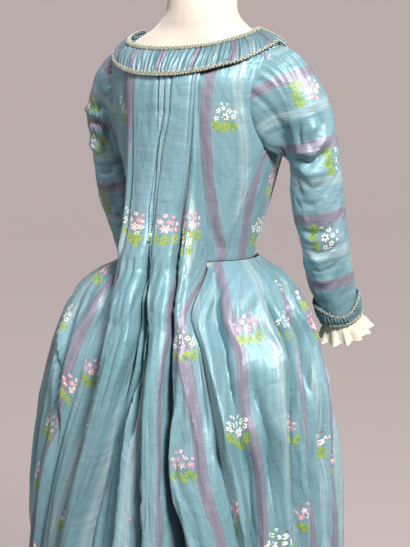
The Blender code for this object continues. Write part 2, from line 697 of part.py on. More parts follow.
sackGrid = grid
for side, tag, remap, column in ((-1, "right", None, -1), (1, "left", leftPlaces, 0)):
    grid = hangingSheet(skirtFolds, skirtLevels, skirtRings, "skirt", skirtRows, 2, side, remap)
    for row in grid:
        row[0] = seamPoint(sackGrid, column, row[0][2])
        row[1] = 0.35 * row[0] + 0.35 * row[2] + 0.30 * row[1]
    shell("skirt_" + tag, grid, clothWall, "taffeta", edgeNormals=radialEdges(grid, (0, 0)))
grid = []
for z in skirtRows:
    half = ringLength(skirtRings, "skirt", z)[1][-1]
    edge = foldLine(skirtFolds, skirtLevels, z)[-1][0]
    wide = half - edge + (0.022 if z > 0.98 else 0.030)
    deep = pchip([0, 0.9, 0.97, 1.0], [-.016, -.012, -.007, -.0030], z)
    row = []
    for k in range(15):
        u = -1 + 2 * k / 14
        wave = 0.0025 * math.cos(k * math.pi) * min(1, (1.0 - z) * 12)
        q = half - abs(u) * wide
        row.append(alongRing(skirtRings, "skirt", z, q if u >= 0 else -q, deep + wave))
    row[7][0] = 0.0
    grid.append(row)
shell("petticoat_front", grid, clothWall, "taffeta")

# Bodice pieces.
for side, tag in ((1, "left"), (-1, "right")):
    shell("bodice_back_" + tag, patch(backRows, 1, 8, side, bodiceHeight, 0.0008), bodiceWall, "taffeta")
    shell("bodice_front_" + tag, patch(frontRows, 1, 10, side, bodiceHeight, 0.0008), bodiceWall, "taffeta")
grid = []
for z, half in stomacherRows:
    grid.append([formPoint(180 - half + 2 * half * k / 10, z, 0.0021) for k in range(11)])
shell("stomacher", grid, 0.0012, "taffeta")

# Sleeves, ruched cuffs and lace.
for side, tag, arm in ((1, "left", leftArm), (-1, "right", rightArm)):
    shell("sleeve_" + tag, sleeveGrid(arm, side, 26, 9), clothWall, "taffeta", wrap=True)
    shell("cuff_" + tag, cuffGrid(arm, side), clothWall, "taffeta", wrap=True)
    shell("lace_" + tag, laceGrid(arm, side), laceWall, "lace", wrap=True)

# Ruched neck band and its braid.
shell("neck_band", bandGrid(), 0.0014, "taffeta")
shell("braid_upper", braidGrid(0.06, 0.13, 52), 0.0018, "braid")
shell("braid_lower", braidGrid(0.94, 0.13, 52), 0.0018, "braid")
print("triangles", sum(len(o.data.polygons) for o in bpy.data.objects if o.type == "MESH"))
for o in bpy.data.objects:
    print(o.name, len(o.data.polygons))
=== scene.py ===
import math
import random
import bpy
import numpy as np
from mathutils import Matrix, Vector, noise
from mathutils.bvhtree import BVHTree
from mathutils.geometry import barycentric_transform


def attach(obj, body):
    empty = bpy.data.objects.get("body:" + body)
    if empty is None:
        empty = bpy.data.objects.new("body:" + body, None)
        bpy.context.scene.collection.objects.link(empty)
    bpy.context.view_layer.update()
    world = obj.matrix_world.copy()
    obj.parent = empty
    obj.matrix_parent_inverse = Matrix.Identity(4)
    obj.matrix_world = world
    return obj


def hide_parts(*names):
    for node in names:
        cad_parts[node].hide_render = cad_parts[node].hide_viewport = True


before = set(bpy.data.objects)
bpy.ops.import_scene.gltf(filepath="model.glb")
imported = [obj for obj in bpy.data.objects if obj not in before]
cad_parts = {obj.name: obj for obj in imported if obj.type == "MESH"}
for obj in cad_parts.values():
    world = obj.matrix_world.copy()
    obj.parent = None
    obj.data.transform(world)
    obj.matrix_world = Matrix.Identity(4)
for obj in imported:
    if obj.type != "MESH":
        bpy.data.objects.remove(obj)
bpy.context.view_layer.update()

print("frame loaded", len(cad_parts), "nodes")

scene = bpy.context.scene
# The wearer faces -Y, the wearer's left is +X, the floor is z = 0. Metres throughout.
levels = {"hem": 0.012, "cuffEdge": 0.903, "laceTop": 0.9085}
walls = {"silk": 0.0010, "bodice": 0.0012, "lace": 0.0005, "stomacher": 0.0010, "band": 0.0008}
# Places over the form and round the arm are kept in metres: so much for each degree.
perDegree = {"form": 0.002, "arm": 0.0007}
# A point inside the bodice and one inside the skirts, to tell the cloth's outer side.
bodiceMiddle, skirtMiddle = np.array([0, 0, 1.15]), np.array([0, 0.045, 0.5])


# Shader helpers: a socket that can be worked with like a number, and a finish that makes nodes.
class Signal:
    def __init__(self, finish, socket):
        self.finish = finish
        self.socket = socket

    def math(self, operation, other=0.0, swapped=False):
        first, second = (other, self) if swapped else (self, other)
        return self.finish.add("ShaderNodeMath", {"operation": operation}, {0: first, 1: second})

    def __add__(self, other):
        return self.math("ADD", other)

    def __sub__(self, other):
        return self.math("SUBTRACT", other)

    def __rsub__(self, other):
        return self.math("SUBTRACT", other, True)

    def __mul__(self, other):
        return self.math("MULTIPLY", other)

    def __truediv__(self, other):
        return self.math("DIVIDE", other)

    def __rtruediv__(self, other):
        return self.math("DIVIDE", other, True)

    def __abs__(self):
        return self.math("ABSOLUTE")

    __radd__ = __add__
    __rmul__ = __mul__


class Finish:
    def __init__(self, name, constants):
        self.material = bpy.data.materials.new(name)
        self.material.use_nodes = True
        self.tree = self.material.node_tree
        self.shader = self.tree.nodes["Principled BSDF"]
        for key, value in constants.items():
            self.shader.inputs[key].default_value = value

    def add(self, kind, settings=None, inputs=None, output=0):
        node = self.tree.nodes.new(kind)
        for key, value in (settings or {}).items():
            if key == "stops":
                while len(node.color_ramp.elements) < len(value):
                    node.color_ramp.elements.new(1.0)
                for stop, (place, colour) in zip(node.color_ramp.elements, value):
                    stop.position = place
                    stop.color = (*colour, 1)
            else:
                setattr(node, key, value)
        for key, value in (inputs or {}).items():
            if isinstance(value, Signal):
                self.tree.links.new(value.socket, node.inputs[key])
            else:
                node.inputs[key].default_value = value
        return Signal(self, node.outputs[output])

    def feed(self, name, value):
        self.tree.links.new(value.socket, self.shader.inputs[name])

    def blend(self, first, second, share):
        pair = [c if isinstance(c, Signal) else (*c, 1) for c in (first, second)]
        return self.add("ShaderNodeMix", {"data_type": "RGBA", "blend_type": "MIX"},
                        {0: share, 6: pair[0], 7: pair[1]}, 2)

    def step(self, value, low, high):
        return self.add("ShaderNodeMapRange", {"interpolation_type": "SMOOTHSTEP"},
                        {"Value": value, "From Min": low, "From Max": high})

    def cloud(self, place, scale, detail=2.0, rough=0.5):
        return self.add("ShaderNodeTexNoise", {}, {"Vector": place, "Scale": scale, "Detail": detail,
                                                   "Roughness": rough})

    def stretch(self, place, amounts):
        return self.add("ShaderNodeVectorMath", {"operation": "MULTIPLY"}, {0: place, 1: amounts})

    def grain(self, place, amounts, detail=2.0, rough=0.5):
        return self.cloud(self.stretch(place, amounts), 1.0, detail, rough)

    def tinted(self, colour, tone):
        return self.stretch(colour, self.add("ShaderNodeCombineXYZ", {}, {0: tone, 1: tone, 2: tone}))

    def objectPlace(self):
        return self.add("ShaderNodeTexCoord", {}, {}, 3)

    def bump(self, height, distance, strength=1.0, under=None):
        inputs = {"Height": height, "Distance": distance, "Strength": strength}
        if under is not None:
            inputs["Normal"] = under
        return self.add("ShaderNodeBump", {}, inputs)


# Changing shot silk: u runs across the warp stripes and v along them, both in metres on the cloth.
silkLook = {
    "ground": (0.185, 0.318, 0.362), "groundCool": (0.238, 0.330, 0.405), "groundDeep": (0.120, 0.245, 0.280),
    "mauve": (0.215, 0.158, 0.215), "mauveLine": (0.330, 0.275, 0.340), "pale": (0.330, 0.430, 0.450),
    "paleLine": (0.560, 0.640, 0.630), "repeat": 0.108, "mauveWidth": 0.0160, "paleWidth": 0.0125, "lineWidth": 0.0006,
    "roughness": 0.50, "sheen": 0.10, "metallic": 0.20,
}


def makeSilk(name, look, deep=0.0):
    silk = Finish(name, {"Metallic": look["metallic"], "Specular IOR Level": 0.34, "Sheen Weight": look["sheen"],
                         "Sheen Roughness": 0.35, "Sheen Tint": (0.92, 0.97, 1.0, 1), "Anisotropic": 0.35})
    cloth = silk.add("ShaderNodeUVMap", {"uv_map": "Cloth"})
    u = silk.add("ShaderNodeSeparateXYZ", {}, {0: cloth}, 0)
    warpNoise = silk.grain(cloth, (620, 9, 1), 3.0)
    weftNoise = silk.grain(cloth, (11, 520, 1), 3.0)
    patches = silk.grain(cloth, (7, 3.4, 1))
    ragged = (silk.grain(cloth, (90, 240, 1)) - 0.5) * 0.0012
    turn = (u + ragged) / look["repeat"]
    fromMauve = abs((turn + 0.5).math("FRACT") - 0.5) * look["repeat"]
    fromPale = abs(turn.math("FRACT") - 0.5) * look["repeat"]

    def band(distance, middle, half, soft=0.0005):
        return 1.0 - silk.step(abs(distance - middle), half - soft, half + soft)

    mauve = band(fromMauve, 0.0, look["mauveWidth"] / 2, 0.0009)
    mauveLines = (band(fromMauve, look["mauveWidth"] / 2 - 0.0030, look["lineWidth"])
                  + band(fromMauve, look["mauveWidth"] / 2 + 0.0016, look["lineWidth"]) * 0.8)
    pale = band(fromPale, 0.0, look["paleWidth"] / 2, 0.0009)
    paleLines = (band(fromPale, look["paleWidth"] / 2 + 0.0018, look["lineWidth"])
                 + band(fromPale, look["paleWidth"] / 2 - 0.0018, look["lineWidth"]))
    colour = silk.blend(look["groundDeep"], look["ground"], silk.step(patches, 0.25, 0.52))
    colour = silk.blend(colour, look["groundCool"], silk.step(patches, 0.50, 0.80) * 0.8)
    colour = silk.blend(colour, look["mauve"], mauve * 0.74)
    colour = silk.blend(colour, look["pale"], pale * 0.55)
    colour = silk.blend(colour, look["mauveLine"], mauveLines * 0.45)
    colour = silk.blend(colour, look["paleLine"], paleLines * 0.26)
    # deep darkens the whole colour: painted shade standing for the shadows in the gaps of ruched silk
    tone = (warpNoise - 0.5) * 0.34 + (weftNoise - 0.5) * 0.30 + 1.0 - deep
    silk.feed("Base Color", silk.tinted(colour, tone))
    silk.feed("Roughness", look["roughness"] + (warpNoise - 0.5) * 0.16 + (patches - 0.5) * 0.12)
    crinkle = silk.grain(cloth, (64, 17, 1), 3.0, 0.55)
    creased = (abs(silk.grain(cloth, (34, 9, 1)) - 0.5)
               + abs(silk.grain(cloth, (21, 30, 1)) - 0.5) * 0.8)
    slub = silk.grain(cloth, (900, 30, 1))
    rib = silk.grain(cloth, (26, 760, 1))
    lift = silk.bump(crinkle + creased * 1.2, 0.0030, 0.8)
    silk.feed("Normal", silk.bump(slub + rib * 0.8, 0.00012, 0.7, lift))
    return silk.material


def makeThread(name, colour):
    thread = Finish(name, {"Sheen Weight": 0.35, "Sheen Roughness": 0.4, "Specular IOR Level": 0.4})
    place = thread.objectPlace()
    strand = thread.cloud(place, 900.0, 3.0)
    mottle = thread.cloud(place, 130.0, 2.0)
    tone = (strand - 0.5) * 0.5 + (mottle - 0.5) * 0.5 + 1.0
    thread.feed("Base Color", thread.tinted(colour, tone))
    thread.feed("Roughness", 0.45 + (strand - 0.5) * 0.2)
    thread.feed("Normal", thread.bump(strand, 0.0003, 0.6))
    return thread.material


silk = makeSilk("shot silk taffeta", silkLook)
# A darker copy of the silk for the ruched cuffs and neck band: its colour carries painted shade for the shadows between
# the gathers.
ruchedSilkPaintedShade = makeSilk("shot silk ruched", silkLook, 0.28)
threads = {
    "white": makeThread("brocade white", (0.80, 0.78, 0.72)), "pink": makeThread("brocade pink", (0.74, 0.30, 0.34)),
    "rose": makeThread("brocade pale rose", (0.80, 0.52, 0.53)),
    "red": makeThread("brocade madder", (0.26, 0.045, 0.04)),
    "leaf": makeThread("brocade leaf", (0.27, 0.35, 0.055)), "stem": makeThread("brocade stem", (0.12, 0.24, 0.12)),
    "lilac": makeThread("brocade lilac", (0.34, 0.26, 0.40)),
    "cream": makeThread("gimp cream", (0.56, 0.52, 0.40)), "sage": makeThread("gimp sage", (0.11, 0.14, 0.10)),
}
print("silk and thread finishes made")


# Smooth tables: each row is a section, the first number is its level.
formRings = [
    (0.860, .130, .096, .098, .006), (0.930, .112, .088, .090, .002), (1.000, .094, .080, .080, .000),
    (1.050, .106, .083, .086, -.002), (1.120, .124, .090, .099, -.004), (1.180, .136, .095, .112, -.004),
    (1.230, .143, .096, .106, -.002), (1.270, .150, .092, .094, .000), (1.300, .152, .082, .084, -.004),
    (1.322, .144, .070, .074, -.008), (1.340, .115, .060, .066, -.011), (1.355, .084, .055, .062, -.012),
    (1.368, .067, .054, .059, -.012), (1.385, .056, .053, .056, -.013), (1.420, .053, .053, .054, -.018),
    (1.480, .052, .052, .053, -.028),
]
skirtRings = [
    (0.00, .300, .235, .235, .045), (0.20, .288, .222, .225, .045), (0.40, .274, .208, .213, .045),
    (0.55, .265, .196, .202, .044), (0.65, .259, .187, .194, .041), (0.75, .249, .176, .184, .038),
    (0.85, .231, .158, .168, .035), (0.90, .215, .142, .152, .032), (0.94, .195, .122, .130, .028),
    (0.97, .160, .102, .116, .018), (1.00, .100, .085, .087, .000),
]
sackRings = skirtRings[:7] + [
    (0.90, .215, .142, .142, .032), (0.95, .165, .095, .095, .064), (1.00, .135, .065, .065, .070),
    (1.06, .130, .060, .060, .055), (1.12, .130, .060, .060, .046), (1.18, .135, .064, .064, .039),
    (1.23, .138, .064, .064, .037), (1.27, .140, .064, .064, .0345), (1.30, .140, .062, .062, .0225),
    (1.315, .140, .060, .060, .0160),
]
sackLevels = [1.315, 1.27, 1.15, 1.06, 1.00, 0.93, 0.88, 0.80, 0.70, 0.58, 0.30, 0.00]
sackFolds = [
    ("left end", [(67, 0), (67, 0), (69.5, -11), (77, -34), (86, -54), (84, -19), (100, -18), (120, -18),
                  (150, -18), (190, -20), (255, -24), (298, -28)]),
    ("left rim", [(62.5, 1), (62.5, 1), (64, 1), (67, -2), (70, -9), (77, -20), (92, -22), (110, -20),
                  (138, -14), (176, -12), (240, -12), (282, -14)]),
    ("left strip", [(59, 1.3), (59, 1.3), (59, 2.4), (61, 2), (63, -3), (67, -22), (76, -28), (88, -28),
                    (116, -20), (154, -14), (222, -10), (262, -4)]),
    ("left strip edge", [(54, 1.2), (54, 1.2), (52, 1.5), (53, 0), (54, -5), (54, -26), (56, -36), (66, -42),
                         (86, -36), (120, -26), (178, -22), (218, -20)]),
    ("left hollow", [(51.5, .8), (51.5, .8), (48.5, 0), (47, -6), (47, -12), (47, -28), (45, -40), (53, -50),
                     (72, -50), (104, -46), (161, -50), (200, -55)]),
    ("left pleat outer", [(49, 2.4), (49, 2.4), (46, 3.4), (45, 4), (45, 4), (43, 4), (40, 4), (47, 4),
                          (66, 3), (97, 3), (150, 3), (188, 3)]),
    ("left pleat face", [(27, 2.6), (27, 2.6), (27, 4), (26, 5.5), (24, 6), (23, 7), (21, 7), (29, 7),
                         (50, 7), (84, 7), (132, 8), (166, 9)]),
    ("left pleat inner", [(6, 2.5), (6, 2.5), (6, 3.4), (6, 4), (6, 4), (6, 5), (3, 6), (12, 7),
                          (35, 9), (71, 10), (114, 11), (142, 11)]),
    ("left groove", [(3, 2.4), (3, 2.4), (3, 2.8), (3, -1), (3, -4), (2, -14), (-1, -18), (7, -24),
                     (30, -32), (63, -38), (102, -46), (128, -50)]),
    ("left floor", [(1.5, 2.4), (1.5, 2.4), (1.5, 2.6), (1.5, -1), (0, -4), (-10, -14), (-16, -18), (-8, -22),
                    (5, -28), (12, -34), (20, -42), (26, -46)]),
    ("centre back", [(0, 2.4), (0, 2.4), (0, 2.6), (0, .4), (-2, -1), (-15, -2), (-22, -3), (-15, -2),
                     (-4, -1), (0, 0), (6, 2), (10, 4)]),
    ("right groove", [(-3, 2.4), (-3, 2.4), (-3, 2.8), (-3, -1), (-8, -4), (-20, -14), (-34, -19), (-39, -24),
                      (-47, -30), (-53, -36), (-60, -42), (-66, -46)]),
    ("right pleat inner", [(-6, 2.5), (-6, 2.5), (-6, 3.4), (-6, 4), (-11, 3), (-24, 2), (-38, 2), (-43, 3),
                           (-51, 4), (-57, 5), (-68, 6), (-78, 6)]),
    ("right pleat face", [(-32, 2.6), (-32, 2.6), (-29, 4), (-26, 5.5), (-29, 6), (-42, 7), (-50, 8), (-56, 8),
                          (-65, 8), (-74, 8), (-92, 8), (-110, 8)]),
    ("right pleat outer", [(-60.5, 2.4), (-60.5, 2.4), (-51, 4), (-41, 5), (-45, 5), (-59, 4), (-65, 4), (-70, 4),
                           (-80, 3), (-92, 3), (-118, 4), (-140, 4)]),
    ("right hollow", [(-62, .6), (-62, .6), (-55, -4), (-46, -11), (-50, -18), (-62.5, -32), (-69.5, -46),
                      (-79, -58), (-90, -60), (-108, -60), (-142, -62), (-166, -64)]),
    ("right strip edge", [(-63.2, 1.2), (-63.2, 1.2), (-59, 1), (-53, -2), (-56, -3), (-67, -4), (-76, -5), (-95, -4),
                          (-99, 1), (-145, 1), (-186, 0), (-212, 0)]),
    ("right strip", [(-64.3, 1.3), (-64.3, 1.3), (-62.5, 2.4), (-62, 2.4), (-66, 2.4), (-77, 3), (-94, 3), (-115, 4),
                     (-126, 5), (-176, 4), (-218, 6), (-250, 8)]),
    ("right rim", [(-65.5, 1), (-65.5, 1), (-66, 1), (-69, -2), (-74, -5), (-84, -5), (-113, -4), (-142, -4),
                   (-168, -4), (-206, -5), (-248, -6), (-286, -8)]),
    ("right end", [(-67, 0), (-67, 0), (-70, -11), (-79, -35), (-89, -55), (-90, -18), (-120.5, -12), (-150.5, -10),
                   (-178.5, -10), (-215.5, -12), (-262, -18), (-300, -24)]),
]

# Folds of the skirt from the sack round to the open front, right side; left uses the same rows.
skirtLevels = [1.00, 0.97, 0.93, 0.88, 0.80, 0.70, 0.58, 0.30, 0.00]
skirtFolds = [
    ("at the sack", [(70, 0), (90, -22), (88, -18), (120.5, -12), (150.5, -10), (178.5, -10), (215.5, -12),
                     (262, -18), (300, -24)]),
    ("back crest", [(79, 0), (100, -6), (104, 0), (132, 2), (162, 0), (190, -2), (226, -2), (275, 0), (318, 4)]),
    ("soft hollow", [(86, 0), (110, -4), (122, -4), (156, -4), (180, -6), (210, -14), (236, -12), (290, -12),
                     (335, -18)]),
    ("side crest", [(95, 0), (120, 1), (145, 2), (182, 4), (201, 3), (236, 4), (250, 2), (312, 6), (362, 6)]),
    ("side hollow", [(108, 0), (138, 0), (168, 0), (212, 0), (227, -3), (254, -8), (272, -10), (335, -14),
                     (385, -18)]),
    ("hip crest", [(125, 0), (163, 2), (196, 3), (240, 5), (256, 5), (274, 4), (294, 3), (355, 4), (405, 6)]),
    ("hip hollow", [(132, 0), (176, 0), (215, -2), (262, -6), (281, -12), (292, -12), (312, -14), (372, -18),
                    (424, -22)]),
    ("second crest", [(138, 0), (186, 3), (228, 3), (276, 2), (293, 3), (305, 3), (326, 3), (388, 5), (442, 5)]),
    ("second hollow", [(146, 0), (196, -2), (241, -6), (291, -8), (311, -10), (323, -14), (341, -14), (402, -18),
                       (458, -22)]),
    ("slit rim back", [(152, 0), (204, 4), (250, 4), (302, 4), (324, 4), (338, 3), (356, 3), (418, 4), (476, 5)]),
    ("pocket slit", [(160, 0), (216, -11), (262, -12), (314, -10), (338, -12), (352, -14), (370, -14), (434, -18),
                     (492, -22)]),
    ("slit rim front", [(166, .5), (226, 5), (274, 5), (328, 4), (352, 4), (368, 3), (386, 3), (450, 5), (510, 6)]),
    ("front hollow a", [(176, 0), (240, -4), (292, -6), (344, -8), (370, -12), (384, -14), (402, -16), (466, -20),
                        (526, -24)]),
    ("front crest a", [(184, 0), (252, 4), (306, 4), (358, 3), (386, 3), (402, 3), (420, 3), (484, 5), (546, 6)]),
    ("front hollow b", [(194, 0), (268, -4), (324, -6), (378, -8), (408, -12), (424, -14), (442, -16), (504, -20),
                        (566, -24)]),
    ("front crest b", [(204, 0), (284, 3), (342, 3), (398, 3), (430, 3), (448, 3), (464, 3), (526, 5), (588, 6)]),
    ("front hollow c", [(216, 0), (304, -3), (366, -4), (424, -5), (458, -6), (476, -8), (492, -8), (552, -10),
                        (612, -10)]),
    ("front crest c", [(228, 0), (322, 2), (388, 2), (450, 2), (486, 2), (506, 2), (520, 2), (578, 3), (636, 3)]),
    ("open edge", [(240, 0), (338, 1), (404, 1), (470, 1), (508, 1), (530, 1), (545, 1), (602, 1), (660, 1)]),
]
leftSeam = [66, 84, 81, 100.5, 120.5, 150.5, 190.5, 255.5, 298.5]

# Bodice back: inner edge (angle from the centre back, z) and outer edge, waist to shoulder.
backRows = [
    (0, 1.000, 60, 1.000),
    (0, 1.050, 63, 1.050),
    (0, 1.100, 68, 1.100),
    (0, 1.150, 78, 1.151),
    (0, 1.190, 79, 1.180),
    (0, 1.230, 67.4, 1.204),
    (0, 1.265, 62.4, 1.235),
    (0, 1.295, 61.4, 1.262),
    (3, 1.316, 63.4, 1.284),
    (28, 1.322, 68.2, 1.301),
    (50, 1.334, 76, 1.313),
    (72, 1.341, 83.6, 1.320),
    (88, 1.345, 88, 1.325),
]
# Bodice front: outer edge then open front edge.
frontRows = [
    (60, 1.000, 160, 1.000),
    (63, 1.050, 158, 1.050),
    (68, 1.100, 154, 1.100),
    (75, 1.148, 150, 1.150),
    (79.4, 1.171, 147, 1.190),
    (94, 1.177, 143, 1.225),
    (104.8, 1.202, 138, 1.255),
    (112.6, 1.227, 131, 1.280),
    (110.8, 1.258, 124, 1.300),
    (105, 1.287, 115, 1.320),
    (98, 1.309, 104, 1.334),
    (88, 1.325, 88, 1.345),
]
# Armhole, from the shoulder point round by the back: angle, z.
armholeRows = [
    (88, 1.325), (83, 1.321), (75, 1.314), (67, 1.302), (62, 1.285), (60, 1.262), (61, 1.235), (66, 1.205),
    (74, 1.183), (83, 1.1685), (94, 1.1765), (104.6, 1.203), (112.3, 1.228), (111, 1.258), (105.5, 1.287), (98, 1.309),
]
# Stomacher: z, half angle each side of the centre front.
stomacherRows = [
    (1.003, 27), (1.05, 29), (1.10, 33), (1.15, 37), (1.19, 41), (1.225, 46), (1.25, 51),
]
# Neck band: inner edge (angle, z), outer edge (angle, z), lift over the form in mm.
bandRows = [
    (0, 1.3165, 0, 1.277, 12.4),
    (14, 1.318, 12, 1.278, 12.4),
    (28, 1.322, 26, 1.283, 12.2),
    (40, 1.328, 38, 1.291, 11.0),
    (50, 1.333, 50, 1.300, 8.6),
    (62, 1.338, 61, 1.310, 7.4),
    (75, 1.3425, 74, 1.320, 7.2),
    (88, 1.345, 88, 1.325, 7.2),
    (104, 1.334, 100, 1.313, 7.2),
    (115, 1.320, 108, 1.298, 7.6),
    (124, 1.300, 114, 1.274, 8.0),
    (131, 1.280, 119, 1.250, 8.4),
    (138, 1.255, 123, 1.222, 8.4),
    (143, 1.225, 126, 1.190, 8.4),
    (147, 1.190, 128, 1.150, 8.2),
    (150, 1.150, 130, 1.110, 8.0),
    (154, 1.100, 133, 1.065, 8.2),
    (158, 1.050, 137, 1.030, 8.6),
    (160, 1.006, 139, 1.006, 8.2),
]
# Arm line inside each sleeve: z, distance out, distance before, radius.
rightArm = [
    (0.880, .2085, .113, .0285), (0.905, .2070, .103, .0295), (0.938, .2045, .089, .0325),
    (0.965, .2025, .079, .0358), (1.000, .2005, .068, .0368), (1.040, .1985, .056, .0376),
    (1.087, .1955, .044, .0395), (1.170, .1895, .030, .0430), (1.240, .1740, .018, .0460),
    (1.300, .1520, .006, .0460),
]
leftArm = [
    (0.880, .1985, .150, .0285), (0.905, .1985, .138, .0295), (0.938, .1985, .124, .0325),
    (0.965, .1985, .111, .0358), (1.000, .1980, .096, .0368), (1.040, .1965, .079, .0378),
    (1.087, .1920, .053, .0398), (1.170, .1880, .031, .0424), (1.240, .1750, .018, .0470),
    (1.300, .1540, .006, .0480),
]


def curve(xs, ys, x):
    # Curve through the rows that never overshoots them, for one column of values or several.
    xs, ys, x = np.asarray(xs, float), np.asarray(ys, float), np.asarray(x, float)
    table = ys.reshape(len(xs), -1)
    flat = x.reshape(-1)
    gap = np.diff(xs)[:, None]
    rise = np.diff(table, axis=0) / gap
    slope = np.zeros_like(table)
    slope[0], slope[-1] = rise[0], rise[-1]
    if len(xs) > 2:
        a, b = rise[:-1], rise[1:]
        wa, wb = 2 * gap[1:] + gap[:-1], gap[1:] + 2 * gap[:-1]
        same = a * b > 0
        slope[1:-1] = np.where(same, (wa + wb) / (wa / np.where(same, a, 1) + wb / np.where(same, b, 1)), 0)
    k = np.clip(np.searchsorted(xs, flat, side="right") - 1, 0, len(xs) - 2)
    h = gap[k]
    t = np.clip((flat - xs[k])[:, None] / h, 0, 1)
    out = ((2 * t**3 - 3 * t**2 + 1) * table[k] + (t**3 - 2 * t**2 + t) * slope[k] * h
           + (3 * t**2 - 2 * t**3) * table[k + 1] + (t**3 - t**2) * slope[k + 1] * h)
    return out.reshape(x.shape) if ys.ndim == 1 else out.reshape(*x.shape, -1)


def columns(rows, z):
    table = np.array(rows)
    return np.moveaxis(curve(table[:, 0], table[:, 1:], z), -1, 0)


def atIndex(rows, s):
    return np.moveaxis(curve(np.arange(len(rows)), np.array(rows, float), s), -1, 0)


def smooth(x, low, high):
    t = np.clip((x - low) / (high - low), 0, 1)
    return t * t * (3 - 2 * t)


def ringPoint(rows, z, angle, power=2.0):
    z, angle = np.broadcast_arrays(np.asarray(z, float), np.asarray(angle, float))
    a, b, f, y0 = columns(rows, z)
    c, s = np.cos(angle), np.sin(angle)
    x = a * np.sign(s) * np.abs(s) ** (2 / power)
    y = y0 + np.where(c > 0, b, f) * np.sign(c) * np.abs(c) ** (2 / power)
    return np.stack([x, y, z], axis=-1)


def halfRing(rows, z):
    pts = ringPoint(rows, z, np.linspace(0, math.pi, 241), 2.15)
    return pts, np.concatenate([[0], np.cumsum(np.linalg.norm(np.diff(pts, axis=0), axis=1))])


def alongRing(rows, z, p, h):
    # Points p round from the centre back (+ toward +X), lifted h off the ring.
    pts, run = halfRing(rows, z)
    q = np.minimum(np.abs(p), run[-1] - 1e-6)
    e = 0.006
    x, y = (np.interp(q, run, pts[:, k]) for k in (0, 1))
    tx = np.interp(q + e, run, pts[:, 0]) - np.where(q > e, 1, -1) * np.interp(np.abs(q - e), run, pts[:, 0])
    ty = np.interp(q + e, run, pts[:, 1]) - np.interp(np.abs(q - e), run, pts[:, 1])
    size = np.hypot(tx, ty)
    nx, ny = -ty / size, tx / size
    h = h * np.where(nx * x + ny * y > 0, 1, -1)
    return np.stack([np.where(p >= 0, 1, -1) * (x + nx * h), y + ny * h, np.full_like(x, z)], axis=-1)


def formPoint(angle, z, lift):
    # Points over the padded form, lifted along its surface normal.
    angle, z, lift = np.broadcast_arrays(np.asarray(angle, float), np.asarray(z, float), np.asarray(lift, float))
    a = np.radians(angle)
    u = ringPoint(formRings, z, a + 0.02) - ringPoint(formRings, z, a - 0.02)
    v = ringPoint(formRings, z + 0.004, a) - ringPoint(formRings, z - 0.004, a)
    n = np.cross(u, v)
    n /= np.linalg.norm(n, axis=-1, keepdims=True)
    n *= np.where(n[..., 0] * np.sin(a) + n[..., 1] * np.cos(a) + 0.3 * n[..., 2] < 0, -1, 1)[..., None]
    return ringPoint(formRings, z, a) + n * lift[..., None]


def armPoint(arm, side, z, angle, extra=0.0):
    # Points round the arm line; angle 0 away from the body, 90 behind, 180 beside the body.
    z, angle, extra = np.broadcast_arrays(np.asarray(z, float), np.asarray(angle, float), np.asarray(extra, float))
    x, f, r = columns(arm, z)
    xa, fa, _ = columns(arm, z + 0.01)
    xb, fb, _ = columns(arm, z - 0.01)
    t = np.stack([xa - xb, fb - fa, np.where((z > 0.89) & (z < 1.29), 0.02, 0.012)], axis=-1)
    t /= np.linalg.norm(t, axis=-1, keepdims=True)
    e1 = np.array([1.0, 0, 0]) - t * t[..., :1]
    e1 /= np.linalg.norm(e1, axis=-1, keepdims=True)
    e2 = np.cross(t, e1)
    p = np.stack([x, -f, z], axis=-1) + (r + extra)[..., None] * (np.cos(angle)[..., None] * e1
                                                                  + np.sin(angle)[..., None] * e2)
    p[..., 0] *= side
    return p


def creaseField(across, down, creases):
    # Sum of soft ridges (+) and troughs (-); each has a depth and a width in mm and a path of (across, down) in mm.
    total = np.zeros_like(across)
    for depth, width, path in creases:
        spans = [math.hypot(b[0] - a[0], b[1] - a[1]) for a, b in zip(path, path[1:])]
        whole, gone = sum(spans), 0.0
        best, share = np.full_like(across, 1e9), np.zeros_like(across)
        for (a, b), span in zip(zip(path, path[1:]), spans):
            dx, dy = b[0] - a[0], b[1] - a[1]
            t = np.clip(((across - a[0]) * dx + (down - a[1]) * dy) / span**2, 0, 1)
            d = np.hypot(across - a[0] - t * dx, down - a[1] - t * dy)
            near = d < best
            best = np.where(near, d, best)
            share = np.where(near, (gone + t * span) / whole, share)
            gone += span
        ends = smooth(share, 0, 0.25) * smooth(1 - share, 0, 0.30)
        total += depth * np.exp(-np.abs(best / width) ** 1.3) * ends
    return total


def ripple(across, down, pitchAcross, pitchDown, seed):
    # Seeded noise with its own pitch each way, from -1 to 1.
    flat = [noise.noise(Vector((a / pitchAcross, d / pitchDown, seed))) for a, d in zip(across.ravel(), down.ravel())]
    return np.array(flat).reshape(across.shape) * 1.6


def stripeThread(arc, anchors):
    # Thread coordinate across a row: true arc length near each anchor (arc, u), eased between them.
    arc = np.asarray(arc, float)
    out = anchors[0][1] + (arc - anchors[0][0])
    for (a0, u0), (a1, u1) in zip(anchors, anchors[1:]):
        w = smooth(arc, a0 + 0.30 * (a1 - a0), a0 + 0.70 * (a1 - a0))
        out = np.where(arc > a0, (1 - w) * (u0 + arc - a0) + w * (u1 + arc - a1), out)
    last = anchors[-1]
    return np.where(arc > last[0], last[1] + arc - last[0], out)


def runAcross(points):
    step = np.linalg.norm(np.diff(points, axis=1), axis=2)
    return np.concatenate([np.zeros((len(points), 1)), np.cumsum(step, axis=1)], axis=1)


def runDown(points):
    step = np.linalg.norm(np.diff(points, axis=0), axis=2)
    return np.concatenate([np.zeros((1, points.shape[1])), np.cumsum(step, axis=0)])


